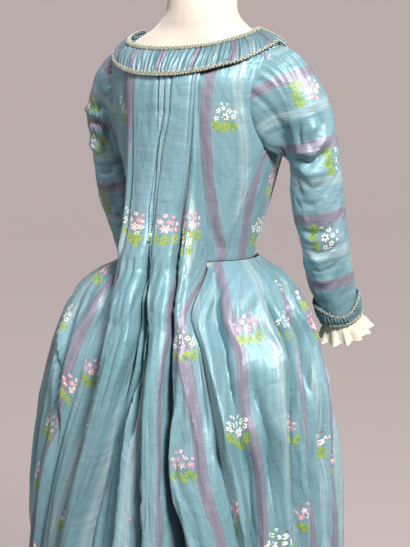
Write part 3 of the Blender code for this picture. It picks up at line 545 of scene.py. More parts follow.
class Cloth:
    # A piece as a grid of points, with its thread coordinates and the places it was drawn from, all in metres.
    def __init__(self, points, u, v, place, level, inside, around=False):
        self.points, self.u, self.v, self.around = points, u, v, around
        self.place, self.level = place, level
        if around:
            du = np.roll(points, -1, axis=1) - np.roll(points, 1, axis=1)
        else:
            du = np.gradient(points, axis=1)
        n = np.cross(du, np.gradient(points, axis=0))
        n /= np.maximum(np.linalg.norm(n, axis=2, keepdims=True), 1e-12)
        self.sign = 1 if np.sum(n * (points - inside)) > 0 else -1
        self.normals = n * self.sign

    def find(self, place, level):
        d = (self.place - place) ** 2 + (self.level - level) ** 2
        k = np.unravel_index(np.argmin(d), d.shape)
        return (self.u[k], self.v[k]) if d[k] < 0.012**2 else None


def meshFrom(name, verts, faces, uvs, look, sharp=50):
    mesh = bpy.data.meshes.new(name)
    mesh.from_pydata(np.asarray(verts).tolist(), [],
                     np.asarray(faces).tolist() if not isinstance(faces, list) else faces)
    if uvs is not None:
        layer = mesh.uv_layers.new(name="Cloth")
        layer.data.foreach_set("uv", np.asarray(uvs, dtype=np.float32).ravel())
    mesh.shade_smooth()
    mesh.set_sharp_from_angle(angle=math.radians(sharp))
    for item in (look if isinstance(look, (list, tuple)) else [look]):
        mesh.materials.append(item)
    obj = bpy.data.objects.new(name, mesh)
    scene.collection.objects.link(obj)
    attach(obj, "root")
    return obj


def sew(node, kind, cloth, wall, look):
    # Thin wall on both sides of the grid, closed round its edges, in place of the CAD node.
    rows, cols = cloth.points.shape[:2]
    last = cols if cloth.around else cols - 1
    verts = np.concatenate([(cloth.points + cloth.normals * wall / 2).reshape(-1, 3),
                            (cloth.points - cloth.normals * wall / 2).reshape(-1, 3)])
    k = rows * cols
    u, v = cloth.u, cloth.v
    r, c = (g.ravel() for g in np.meshgrid(np.arange(rows - 1), np.arange(last), indexing="ij"))
    corners = [(r, c), (r, c + 1), (r + 1, c + 1), (r + 1, c)]
    quad = np.stack([a * cols + b % cols for a, b in corners], axis=1)
    mark = np.stack([np.stack([u[a, b], v[a, b]], axis=-1) for a, b in corners], axis=1)
    parts = [(quad, mark), (quad[:, ::-1] + k, mark[:, ::-1])]

    def rim(first, second, flip):
        face = np.stack([first[0], first[0] + k, second[0] + k, second[0]], axis=1)
        marks = np.stack([first[1], first[1], second[1], second[1]], axis=1)
        parts.append((face[:, ::-1], marks[:, ::-1]) if flip else (face, marks))

    c = np.arange(last)
    for row, flip in ((0, False), (rows - 1, True)):
        ends = [(row * cols + b % cols, np.stack([u[row, b], v[row, b]], axis=-1)) for b in (c, c + 1)]
        rim(ends[0], ends[1], flip)
    if not cloth.around:
        r = np.arange(rows - 1)
        for col, flip in ((0, True), (cols - 1, False)):
            ends = [(a * cols + col, np.stack([u[a, col], v[a, col]], axis=-1)) for a in (r, r + 1)]
            rim(ends[0], ends[1], flip)
    faces = np.concatenate([p[0] for p in parts])
    marks = np.concatenate([p[1] for p in parts])
    if cloth.sign < 0:
        faces, marks = faces[:, ::-1], marks[:, ::-1]
    obj = meshFrom(f"{node}_{kind}", verts, faces, marks, look)
    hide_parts(node)


# Hanging silk: the sack back and the skirts on each side of it.
hanging = {"steps": 15, "crisp": 0.85, "crinkle": 0.00075, "puckers": 0.0015, "sharp": 0.0024, "relief": 1.15,
           "deepest": 0.060}
repeat = silkLook["repeat"]
sackCreases = [
    (-1.3, 2.4, [(-50, 1231), (-20, 1228), (8, 1230), (49, 1226)]),
    (1.0, 2.2, [(-50, 1236), (-20, 1233), (8, 1235), (49, 1231)]),
    (-0.9, 2.4, [(-48, 1180), (-30, 1182), (-9, 1179)]),
    (-4.5, 1.3, [(-10, 1330), (-10, 1232), (-7, 1208), (2, 1168), (7, 1124), (10, 1080), (6, 1036), (2, 1000),
                 (0, 960)]),
    (-4.0, 1.2, [(2, 1330), (1, 1260), (1, 1205)]),
    (-4.0, 1.2, [(-8, 1222), (-2, 1184), (1, 1148), (5, 1096), (3, 1056), (0, 1020), (-4, 980)]),
    (-3.5, 1.4, [(-22, 1330), (-20, 1232), (-16, 1200), (-8, 1172), (-5, 1132), (-2, 1090)]),
    (-2.2, 1.6, [(-56, 1330), (-55, 1250), (-52, 1190), (-48, 1150)]),
    (-30, 2.2, [(5, 1035), (3, 984), (3, 966), (2, 948), (0, 915), (-2, 885), (-1, 850), (5, 815), (12, 785)]),
    (-48, 2.6, [(1, 1040), (0, 1000), (-1, 984), (-11, 948), (-16, 906), (-19, 882), (-21, 846), (-15, 810), (-9, 780),
                (-5, 750), (-2, 720), (1, 684), (3, 654), (4, 600), (4, 500), (4, 380)]),
    (-48, 4.8, [(-8, 785), (-4, 730), (0, 690), (3, 640), (6, 560), (8, 440), (12, 280), (16, 100)]),
    (-48, 2.6, [(-8, 1040), (-8, 1000), (-9, 984), (-15, 955), (-24, 915), (-35, 876), (-38, 834), (-39, 800),
                (-44, 762),
                (-47, 720), (-47, 680), (-48, 650), (-53, 594), (-58, 440), (-62, 300)]),
    (-48, 4.6, [(-46, 740), (-48, 670), (-50, 630), (-53, 594), (-58, 440), (-62, 280), (-66, 100)]),
    (-16, 1.8, [(-23, 868), (-25, 820), (-25, 786), (-22, 762), (-17, 738), (-13, 714)]),
    (-30, 3.2, [(-47, 1060), (-50, 1000), (-53, 978), (-60, 954), (-65, 912), (-71, 882), (-75, 850), (-78, 810)]),
    (-3.0, 3.5, [(-56, 1060), (-60, 1030), (-67, 1000), (-75, 962), (-84, 920)]),
    (6.0, 6, [(-86, 965), (-88, 940), (-92, 902), (-99, 853), (-100, 803), (-97, 764), (-96, 722), (-104, 690)]),
    (6.5, 6, [(-97, 725), (-104, 700), (-116, 672), (-127, 639), (-140, 600), (-154, 530), (-168, 430)]),
    (-5.0, 11, [(-80, 800), (-84, 740), (-92, 690), (-104, 640), (-114, 580), (-126, 480)]),
    (4.5, 5, [(-176, 790), (-172, 765), (-167, 734), (-166, 704), (-162, 667), (-160, 620), (-168, 540)]),
    (-3.2, 4, [(66, 1020), (62, 990), (60, 965), (66, 940), (80, 915)]),
    (2.0, 2.4, [(-46, 880), (-50, 840), (-52, 780), (-58, 700), (-62, 600)]),
    (-2.0, 2.2, [(-54, 860), (-58, 800), (-66, 720), (-72, 640), (-76, 540)]),
    (-1.8, 2.2, [(16, 930), (14, 880), (22, 820), (36, 750)]),
    (2.4, 5, [(28, 900), (32, 830), (48, 750), (66, 670), (84, 600)]),
    (-4, 4, [(20, 700), (34, 640), (46, 560), (60, 440)]),
    (5, 5, [(34, 660), (48, 600), (62, 520), (80, 400), (92, 260)]),
    (4, 5, [(-70, 640), (-78, 520), (-90, 380), (-100, 200)]),
    (-5, 5, [(-22, 640), (-26, 520), (-30, 380), (-34, 200)]),
    (4, 6, [(-10, 620), (-12, 480), (-14, 320), (-16, 160)]),
    (2.2, 2.6, [(32, 985), (36, 930), (42, 880), (52, 820), (64, 740)]),
    (-2.0, 2.4, [(-14, 960), (-18, 900), (-16, 850), (-20, 780), (-22, 700)]),
    (1.8, 7, [(40, 1010), (36, 940), (52, 860), (80, 780), (96, 700)]),
    (-1.6, 5, [(30, 900), (46, 820), (70, 720), (92, 620), (118, 500)]),
    (2.6, 8, [(-70, 900), (-84, 820), (-98, 740), (-106, 660), (-120, 540)]),
    (-2.4, 6, [(-96, 760), (-112, 690), (-132, 600), (-150, 480)]),
    (2.2, 9, [(118, 820), (132, 700), (158, 560), (190, 380)]),
    (-2.2, 7, [(150, 640), (176, 500), (204, 320), (222, 160)]),
    (2.4, 10, [(-150, 520), (-176, 360), (-200, 180)]),
    (-2.0, 8, [(-60, 520), (-80, 360), (-96, 160)]),
    (1.6, 4, [(-62, 1120), (-60, 1060), (-66, 1000), (-74, 940)]),
    (-9.0, 9, [(-96, 945), (-104, 914), (-116, 884), (-128, 842), (-137, 806), (-146, 776), (-156, 730)]),
    (5.5, 4, [(-86, 900), (-98, 866), (-119, 812), (-137, 758), (-149, 704), (-160, 650)]),
    (-5.0, 6, [(-128, 775), (-122, 758), (-113, 740), (-106, 715), (-108, 690)]),
]
rightCreases = [
    (5.0, 12, [(-92, 965), (-112, 930), (-142, 880), (-172, 800), (-192, 730), (-214, 650), (-232, 570), (-250, 480)]),
    (-13.0, 12, [(-90, 990), (-105, 967), (-118, 945), (-134, 915), (-153, 889), (-168, 855), (-182, 810),
                 (-200, 750)]),
    (-4.0, 10, [(-186, 800), (-206, 730), (-228, 640), (-240, 560)]),
    (6.0, 5.5, [(-106, 935), (-116, 914), (-144, 860), (-168, 800), (-179, 758), (-190, 722), (-205, 674), (-215, 614),
                (-226, 520)]),
    (5.0, 5, [(-180, 905), (-176, 884), (-168, 846), (-176, 758), (-171, 704), (-164, 674), (-157, 610)]),
    (-8.0, 13, [(-206, 770), (-215, 734), (-221, 698), (-228, 650), (-230, 600), (-238, 500), (-246, 400)]),
    (4.2, 5, [(-204, 860), (-212, 842), (-233, 800), (-253, 762), (-251, 716), (-245, 674)]),
    (5.0, 5, [(-216, 925), (-224, 896), (-248, 830), (-260, 758), (-272, 668), (-284, 608), (-300, 500)]),
    (-7.0, 7, [(-280, 910), (-292, 884), (-306, 845), (-316, 806), (-326, 740), (-326, 690), (-332, 620)]),
    (6.5, 10, [(-190, 905), (-184, 860), (-179, 815), (-174, 770), (-166, 715), (-158, 650)]),
    (-4.5, 9, [(-168, 800), (-160, 740), (-152, 690), (-146, 630)]),
    (6.0, 21, [(-206, 905), (-222, 860), (-233, 814), (-238, 770), (-240, 720)]),
    (-9.0, 11, [(-196, 868), (-212, 826), (-230, 789), (-246, 748), (-252, 700), (-256, 640)]),
    (3.2, 7, [(-222, 990), (-232, 948), (-250, 901), (-270, 862)]),
    (-8.5, 2.8, [(-150, 990), (-192, 957), (-216, 934), (-245, 902), (-272, 857), (-280, 816), (-286, 774), (-284, 750),
                 (-289, 705), (-297, 655), (-306, 570)]),
    (4.0, 4.5, [(-158, 978), (-186, 950), (-212, 918), (-238, 884), (-262, 850), (-272, 816)]),
    (4.0, 8, [(-286, 860), (-300, 800), (-308, 740), (-312, 660), (-322, 560)]),
    (-8.0, 3.2, [(-272, 910), (-297, 872), (-312, 837), (-344, 787), (-357, 740), (-361, 691), (-354, 640),
                 (-366, 560)]),
    (3.6, 8, [(-330, 880), (-344, 820), (-362, 760), (-378, 680), (-396, 560)]),
    (-8.0, 3.2, [(-318, 925), (-345, 890), (-364, 858), (-375, 815), (-384, 779), (-393, 732), (-401, 690),
                 (-414, 600)]),
    (-3.4, 4, [(-78, 1000), (-94, 983), (-118, 957), (-136, 930), (-146, 900)]),
    (-2.6, 5, [(-130, 992), (-146, 965), (-160, 935), (-172, 905)]),
    (2.8, 7, [(-104, 992), (-122, 960), (-140, 930), (-158, 905)]),
    (2.4, 6, [(-152, 994), (-172, 962), (-190, 930), (-204, 905)]),
    (-2.4, 5, [(-178, 992), (-204, 962), (-228, 935), (-250, 908)]),
    (2.6, 5, [(-196, 990), (-240, 958), (-292, 930), (-340, 890)]),
    (-2.6, 5, [(-208, 980), (-256, 946), (-302, 915), (-346, 872)]),
    (-3.2, 8, [(-262, 560), (-282, 420), (-300, 260)]),
    (4.2, 12, [(-238, 480), (-262, 330), (-280, 160)]),
    (-4.0, 9, [(-340, 560), (-356, 400), (-374, 220)]),
    (4.0, 11, [(-430, 800), (-450, 660), (-470, 460), (-490, 240)]),
    (-3.6, 8, [(-448, 860), (-470, 740), (-492, 600), (-516, 420)]),
    (3.4, 9, [(-500, 760), (-520, 560), (-548, 340)]),
    (2.4, 6, [(-360, 985), (-380, 940), (-398, 900)]),
    (-2.4, 5, [(-330, 980), (-352, 940), (-372, 905)]),
]
leftCreases = [
    (-8.0, 3.0, [(182, 915), (170, 876), (158, 830), (146, 786), (149, 729), (162, 676), (178, 600), (200, 480)]),
    (3.6, 5, [(172, 915), (160, 876), (148, 830), (136, 780), (138, 730), (150, 660)]),
    (4.2, 10, [(112, 975), (126, 920), (124, 860), (122, 790), (134, 710), (150, 620)]),
    (-4.2, 7, [(136, 960), (146, 900), (144, 840), (142, 780), (152, 700), (170, 610)]),
    (3.8, 9, [(160, 965), (166, 900), (160, 840), (168, 760), (180, 680), (206, 560)]),
    (-3.0, 6, [(98, 930), (108, 870), (112, 800), (122, 740)]),
    (2.4, 6, [(104, 992), (130, 968), (152, 940), (170, 905)]),
    (-2.4, 5, [(126, 992), (156, 966), (186, 930)]),
    (2.6, 6, [(160, 990), (200, 962), (232, 930), (262, 890)]),
    (-3.6, 7, [(200, 900), (210, 830), (214, 760), (226, 660), (244, 540)]),
    (4.2, 10, [(236, 880), (248, 800), (256, 700), (272, 580), (290, 420)]),
    (-4.0, 7, [(276, 900), (286, 820), (300, 730), (318, 600)]),
    (3.8, 10, [(330, 860), (342, 760), (356, 640), (380, 480)]),
    (-3.8, 8, [(372, 850), (392, 720), (414, 560), (436, 380)]),
    (4.0, 11, [(430, 800), (452, 640), (476, 440), (500, 220)]),
    (-3.4, 8, [(470, 860), (496, 700), (520, 520), (540, 300)]),
    (3.8, 12, [(190, 500), (214, 340), (240, 160)]),
    (-3.6, 9, [(150, 540), (190, 400), (220, 240)]),
    (-3.2, 8, [(300, 480), (330, 320), (350, 160)]),
]


def hangingPlaces(folds, foldLevels, zRows, shape, remap=None):
    # Place and height of every column at every level, between the soft curve and the crisp line.
    rise = foldLevels[::-1]
    table = np.stack([curve(rise, np.array(pairs[::-1], float), zRows) for _, pairs in folds], axis=1) / 1000
    if remap is not None:
        table[..., 0] = remap(table[..., 0], zRows)
    index = np.arange(len(folds))
    s = np.arange((len(folds) - 1) * shape["steps"] + 1) / shape["steps"]
    soft = np.stack([curve(index, row, s) for row in table])
    straight = np.stack([np.stack([np.interp(s, index, row[:, k]) for k in (0, 1)], axis=-1) for row in table])
    both = soft + (straight - soft) * shape["crisp"]
    return both[..., 0], both[..., 1], s


def crinkled(points, normals, amount, sharp, seed):
    # Fine crinkles and sharper crests that run with the folds and die away at the seams.
    across, down = runAcross(points), runDown(points)
    edge = np.minimum(np.minimum(across, across[:, -1:] - across), np.minimum(down, down[-1:] - down))
    wave = (ripple(across, down, 0.011, 0.085, seed) + 0.55 * ripple(across, down, 0.0055, 0.040, seed + 7)
            + 0.9 * ripple(across, down, 0.034, 0.120, seed + 3))
    calm = 0.30 + 0.70 * smooth(1.07 - points[..., 2], 0, 0.12)
    crest = 0.45 - np.abs(ripple(across, down, 0.030, 0.34, seed + 13)) + 0.5 * (
        0.45 - np.abs(ripple(across, down, 0.015, 0.20, seed + 17)))
    return points + normals * ((amount * wave + sharp * crest) * calm * smooth(edge, 0, 0.012))[..., None]


def hangingCloth(place, height, s, zRows, rings, shape, creases, side, seed, pin=None):
    down = np.repeat(zRows[:, None], place.shape[1], axis=1)
    field = shape["relief"] * creaseField(side * place * 1000, down * 1000, creases) / 1000
    field = np.maximum(field, -shape["deepest"])
    settle = smooth(np.minimum(s, s[-1] - s), 0, 1.2)[None, :] * smooth(zRows[0] - down, 0, 0.02)
    waist = shape["puckers"] * np.sin(place * 440 + 2 * np.sin(place * 61)) * np.exp(-(1.0 - down) / 0.035)
    bare = height
    height = height + field * settle + np.where(down < 1.0, waist * settle, 0)
    points = np.stack([alongRing(rings, z, side * p, h) for z, p, h in zip(zRows, place, height)])
    if pin is not None:
        shift = np.stack([pin(z) - q for z, q in zip(zRows, points[:, 0])])
        points = points + shift[:, None, :] * (np.clip(1 - s, 0, 1) ** 2)[None, :, None]
    axis = np.array([0, 0.045, 0]) * np.ones((len(zRows), 1, 3))
    axis[..., 2] = zRows[:, None]
    grid = Cloth(points, np.zeros_like(place), np.zeros_like(place), side * place, down, axis)
    points = crinkled(points, grid.normals, shape["crinkle"], shape["sharp"], seed)
    cloth = Cloth(points, np.zeros_like(place), runDown(points), side * place, down, axis)
    cloth.plain = np.stack([alongRing(rings, z, side * p, h) for z, p, h in zip(zRows, place, bare)])
    return cloth


def setThreads(cloth, anchors, blends, start=0.0):
    # Warp threads along the folds: anchors are (column or line of (level, place mm), u, slope), u may change with the
    # level; blends are hidden columns, or None for the middle of the gap.
    run = runAcross(cloth.plain)
    out = np.zeros_like(run)
    zs = cloth.level.mean(axis=1)
    for r, arc in enumerate(run):
        order = np.argsort(cloth.place[r])
        pins = []
        for where, u, slope in anchors:
            if isinstance(where, list):
                p = np.interp(-zs[r], [-q[0] for q in where], [q[1] / 1000 for q in where])
                spot = np.interp(p, cloth.place[r][order], arc[order])
            else:
                spot = arc[int(where)]
            pins.append((spot, u(zs[r]) if callable(u) else u, slope(zs[r]) if callable(slope) else slope))
        line = pins[0][1] + (arc - pins[0][0]) * pins[0][2]
        for (a0, *_), (a1, u1, k1), blend in zip(pins, pins[1:], blends):
            low, high = (a0 + 0.25 * (a1 - a0), a0 + 0.75 * (a1 - a0)) if blend is None else (
                arc[int(blend[0])], arc[int(blend[1])])
            line = line + (u1 + (arc - a1) * k1 - line) * smooth(arc, low, max(high, low + 1e-5))
        out[r] = line
    reach = np.arange(-12, 13)
    share = np.exp(-(reach / 5.5) ** 2)
    padded = np.pad(out, ((12, 12), (0, 0)), mode="edge")
    cloth.u = sum(w * padded[12 + k:12 + k + len(out)] for k, w in zip(reach, share)) / share.sum()
    cloth.v = cloth.v + start


steps = hanging["steps"]
sackLevelsFine = np.concatenate([np.linspace(1.311, 0.90, 56), np.linspace(0.888, levels["hem"], 68)])
place, height, s = hangingPlaces(sackFolds, sackLevels, sackLevelsFine, hanging)
sack = hangingCloth(place, height, s, sackLevelsFine, sackRings, hanging, sackCreases, 1.0, 11.0)
setThreads(sack,
           [(0, lambda z: -0.011 + 0.021 * float(smooth(1.12 - z, 0, 0.17)), 1), (6 * steps, 1.20 * repeat, 0.70),
            (10 * steps, 1.30 * repeat, 1.0),
            (13 * steps, 1.70 * repeat, lambda z: 0.6 + 1.1 * float(smooth(1.02 - z, 0, 0.10))),
            (19 * steps, lambda z: 3 * repeat + 0.028 - 0.048 * float(smooth(z, 0.90, 1.05)), 1)],
           [(3.2 * steps, 4.8 * steps), (7.6 * steps, 9.4 * steps), (10.7 * steps, 11.3 * steps),
            (14.2 * steps, 15.8 * steps)])
sew("sack_back", "silk", sack, walls["silk"], silk)
print("sack back hung")

skirtLevelsFine = np.concatenate([np.linspace(0.9994, 0.90, 26), np.linspace(0.890, levels["hem"], 70)])


def sackEdge(column):
    line = sack.points[:, column]

    def pin(z):
        p = np.array([np.interp(z, line[::-1, 2], line[::-1, k]) for k in (0, 1)] + [z])
        clear = float(np.interp(z, [0, 0.90, 0.95, 1.0], [.0008, .0009, .0024, .0030]))
        way = np.array([math.copysign(1.0, p[0]), -0.35, 0.0])
        return p + way / np.linalg.norm(way) * clear
    return pin


def leftPlaces(p, z):
    start = curve(skirtLevels[::-1], np.array(leftSeam[::-1], float), z)[:, None] / 1000
    first, last = p[:, :1], p[:, -1:]
    return start + (p - first) * (last - start) / (last - first)


# Lines of single stripes over the skirts: (level, place mm).
mauveRight = [(1.0, -80), (.986, -100), (.972, -115), (.945, -140), (.916, -160), (.88, -176), (.85, -189),
              (.819, -198),
              (.787, -209), (.746, -223), (.705, -233), (.666, -239), (.624, -245), (.3, -307), (0, -350)]
paleRight = [(1.0, -130), (.976, -165), (.952, -188), (.927, -205), (.903, -217), (.878, -229), (.841, -243),
             (.803, -254),
             (.765, -263), (.726, -272), (.685, -284), (.637, -298), (.59, -311), (.3, -365), (0, -410)]
hipRight = [(1.0, -215), (.951, -284), (.923, -310), (.892, -343), (.857, -364), (.818, -377), (.778, -386),
            (.749, -390),
            (.6, -410), (.3, -460), (0, -510)]
mauveLeft = [(1.0, 74), (.954, 93), (.923, 96), (.889, 107), (.847, 118), (.80, 133), (.74, 152), (.679, 178),
             (.629, 203),
             (.59, 219), (.553, 234), (.3, 292), (0, 335)]
skirtShape = {**hanging, "relief": 1.7, "steps": 13}
skirts = {}
for side, tag, remap, column, creases, anchors in (
        (-1, "right", None, -1, rightCreases,
         [(mauveRight, 0, 1), (paleRight, repeat / 2, 1), (hipRight, 2 * repeat, 1)]),
        (1, "left", leftPlaces, 0, leftCreases, [(mauveLeft, 0, 1)])):
    place, height, s = hangingPlaces(skirtFolds, skirtLevels, skirtLevelsFine, skirtShape, remap)
    skirt = hangingCloth(place, height, s, skirtLevelsFine, skirtRings, skirtShape, creases, side, 20.0 + side,
                         sackEdge(column))
    setThreads(skirt, anchors, [None, None], 0.33)
    skirts[tag] = skirt
    sew("skirt_" + tag, "silk", skirt, walls["silk"], silk)

petticoatShape = {"columns": 84, "waves": 14, "wave": 0.0025, "fine": 0.0009}
edges = curve(skirtLevels[::-1], np.array(skirtFolds[-1][1], float)[::-1, 0], skirtLevelsFine) / 1000
rowsOut, t = [], np.linspace(-1, 1, petticoatShape["columns"] + 1)
for z, edge in zip(skirtLevelsFine, edges):
    half = halfRing(skirtRings, z)[1][-1]
    wide = half - edge + (0.022 if z > 0.98 else 0.030)
    deep = float(curve([0, 0.9, 0.97, 1.0], [-.016, -.012, -.007, -.0030], z))
    wave = petticoatShape["wave"] * np.cos((t + 1) * 7 * math.pi) * min(1, (1.0 - z) * 12)
    q = half - np.abs(t) * wide
    rowsOut.append(alongRing(skirtRings, z, np.where(t >= 0, q, -q), deep + wave))
points = np.stack(rowsOut)
points[:, petticoatShape["columns"] // 2, 0] = 0.0
level = np.repeat(skirtLevelsFine[:, None], points.shape[1], axis=1)
petticoat = Cloth(points, points[..., 0] * 0, points[..., 0] * 0, points[..., 0], level, skirtMiddle)
points = crinkled(points, petticoat.normals, petticoatShape["fine"], 0.0010, 31.0)
petticoat = Cloth(points, runAcross(points), runDown(points) + 0.33, points[..., 0], level, skirtMiddle)
sew("petticoat_front", "silk", petticoat, walls["silk"], silk)
print("skirts and petticoat hung")


# Bodice over the form: back and front pieces, and the panel between the fronts.
bodice = {"steps": 6, "lift": 0.0021, "groove": 0.0007, "ripple": 0.00040, "gathers": 0.0027, "rumple": 0.0029,
          "creases": 1.9}
backCreases = [
    (1.6, 9, [(98, 1130), (104, 1090), (112, 1050), (120, 1015)]),
    (-1.4, 5, [(112, 1120), (116, 1080), (124, 1045)]),
    (1.8, 7, [(84, 1090), (96, 1050), (112, 1018)]),
    (-1.5, 5, [(92, 1030), (104, 1022), (120, 1012)]),
    (1.3, 4, [(88, 1019), (100, 1012), (116, 1006)]),
    (-1.1, 4, [(132, 1150), (138, 1148)]), (1.0, 4, [(126, 1128), (134, 1120)]), (-1.0, 4, [(126, 1100), (133, 1096)]),
    (1.0, 4, [(118, 1072), (128, 1066)]), (-1.0, 4, [(118, 1045), (127, 1040)]),
    (1.4, 10, [(110, 1240), (112, 1190), (110, 1150)]),
]


def bodiceHeight(a, z):
    return bodice["lift"] + 0.0022 * smooth(a, 118, 134) + 0.0014 * smooth(z, 1.14, 1.20)


def bodiceCloth(rows, cuts, side, creases, seed):
    s = np.arange((len(rows) - 1) * bodice["steps"] + 1) / bodice["steps"]
    a0, z0, a1, z1 = atIndex(rows, s)
    w = np.linspace(0.004, 0.996, cuts + 1)
    a = a0[:, None] + (a1 - a0)[:, None] * w
    z = z0[:, None] + (z1 - z0)[:, None] * w
    flat = formPoint(side * a, z, bodiceHeight(a, z))
    across, down = runAcross(flat), runDown(flat)
    edge = np.minimum(across, across[:, -1:] - across)
    lift = (bodiceHeight(a, z) - bodice["groove"] * np.exp(-(edge / 0.0022) ** 2)
            + bodice["creases"] * creaseField(a * 2.0, z * 1000, creases) / 1000 * smooth(edge, 0, 0.004)
            + bodice["ripple"]
            * (ripple(across, down, 0.012, 0.060, seed) + ripple(across, down, 0.040, 0.030, seed + 2))
            * smooth(np.minimum(edge, np.minimum(down, down[-1:] - down)), 0, 0.006))
    points = formPoint(side * a, z, lift + neckGathers(a, z))
    rumpled = Cloth(points, across, down, a * perDegree["form"], z, bodiceMiddle)
    slant = across + 0.55 * down
    crest = 0.45 - np.abs(ripple(slant, down, 0.022, 0.070, seed + 5)) + 0.6 * (0.45 - np.abs(ripple(
        slant, down - 0.3 * across, 0.011, 0.045, seed + 9)))
    fade = smooth(np.minimum(edge, np.minimum(down, down[-1:] - down)), 0, 0.012) * (0.4 + 0.6 * smooth(a, 70, 110))
    points = points + rumpled.normals * (bodice["rumple"] * crest * fade)[..., None]
    middle = z.shape[1] // 2
    weft = np.interp(z, z[:, middle],
                     down[-1, middle] - down[:, middle]) - (z - np.clip(z, z[0, middle], z[-1, middle]))
    return Cloth(points, across, weft, a * perDegree["form"], z, bodiceMiddle)


def alignStripes(cloth, table):
    # Stripe lines over the piece: each entry is (u, [(z, angle), ...]).
    run = runAcross(cloth.points)
    for r, arc in enumerate(run):
        z = float(cloth.level[r].mean())
        order = np.argsort(cloth.place[r])
        pins = []
        for u, line in table:
            angle = float(np.interp(z, [q[0] for q in line], [q[1] for q in line])) * perDegree["form"]
            slope = (arc[-1] - arc[0]) / (cloth.place[r, -1] - cloth.place[r, 0] + 1e-9)
            inside = float(np.interp(angle, cloth.place[r][order], arc[order]))
            over = angle - float(np.clip(angle, cloth.place[r].min(), cloth.place[r].max()))
            pins.append((inside + over * slope, u))
        cloth.u[r] = stripeThread(arc, pins)


def neckGathers(a, z):
    return bodice["gathers"] * np.sin(a * 1.15 + 1.3 * np.sin(a * 0.31)) * np.exp(
        -np.clip(1.318 - z, 0, 1) / 0.030) * smooth(a, 44, 58)


backStripes = {
    -1: [(0.0, [(1.00, 57), (1.017, 54), (1.044, 47), (1.076, 41), (1.096, 38), (1.128, 34), (1.156, 33), (1.192, 31),
                (1.26, 31), (1.32, 32)]),
         (repeat / 2, [(1.00, 78), (1.032, 75), (1.064, 66), (1.124, 64), (1.156, 61), (1.192, 58), (1.24, 54),
                       (1.268, 51), (1.32, 49)])],
    1: [(0.0, [(1.00, 40), (1.10, 30), (1.20, 27), (1.32, 32)]),
        (repeat / 2, [(1.00, 64), (1.08, 66), (1.223, 66), (1.32, 62)])],
}
frontStripes = [(0.0, [(1.00, 80), (1.05, 76), (1.096, 73), (1.136, 74), (1.156, 76), (1.172, 82), (1.188, 91),
                       (1.25, 100)])]
bodices = {}
for side, tag in ((1, "left"), (-1, "right")):
    back = bodiceCloth(backRows, 64, side, backCreases, 41.0 + side)
    alignStripes(back, backStripes[side])
    front = bodiceCloth(frontRows, 72, side, [], 45.0 + side)
    alignStripes(front, frontStripes)
    bodices["back_" + tag], bodices["front_" + tag] = back, front
    for part, cloth in (("back", back), ("front", front)):
        sew(f"bodice_{part}_{tag}", "silk", cloth, walls["bodice"], silk)
s = np.linspace(0, len(stomacherRows) - 1, 41)
z, half = atIndex(stomacherRows, s)
t = np.linspace(-1, 1, 57)
angle = 180 + half[:, None] * t
zGrid = np.repeat(z[:, None], len(t), axis=1)
around = angle * perDegree["form"]
points = formPoint(angle, zGrid, bodice["lift"] + 0.0002 * ripple(around, zGrid, 0.03, 0.03, 51.0))
stomacher = Cloth(points, (angle - 180) * perDegree["form"], zGrid * -1 + 1.3, around, zGrid, bodiceMiddle)
sew("stomacher", "silk", stomacher, walls["stomacher"], silk)
print("bodice made")


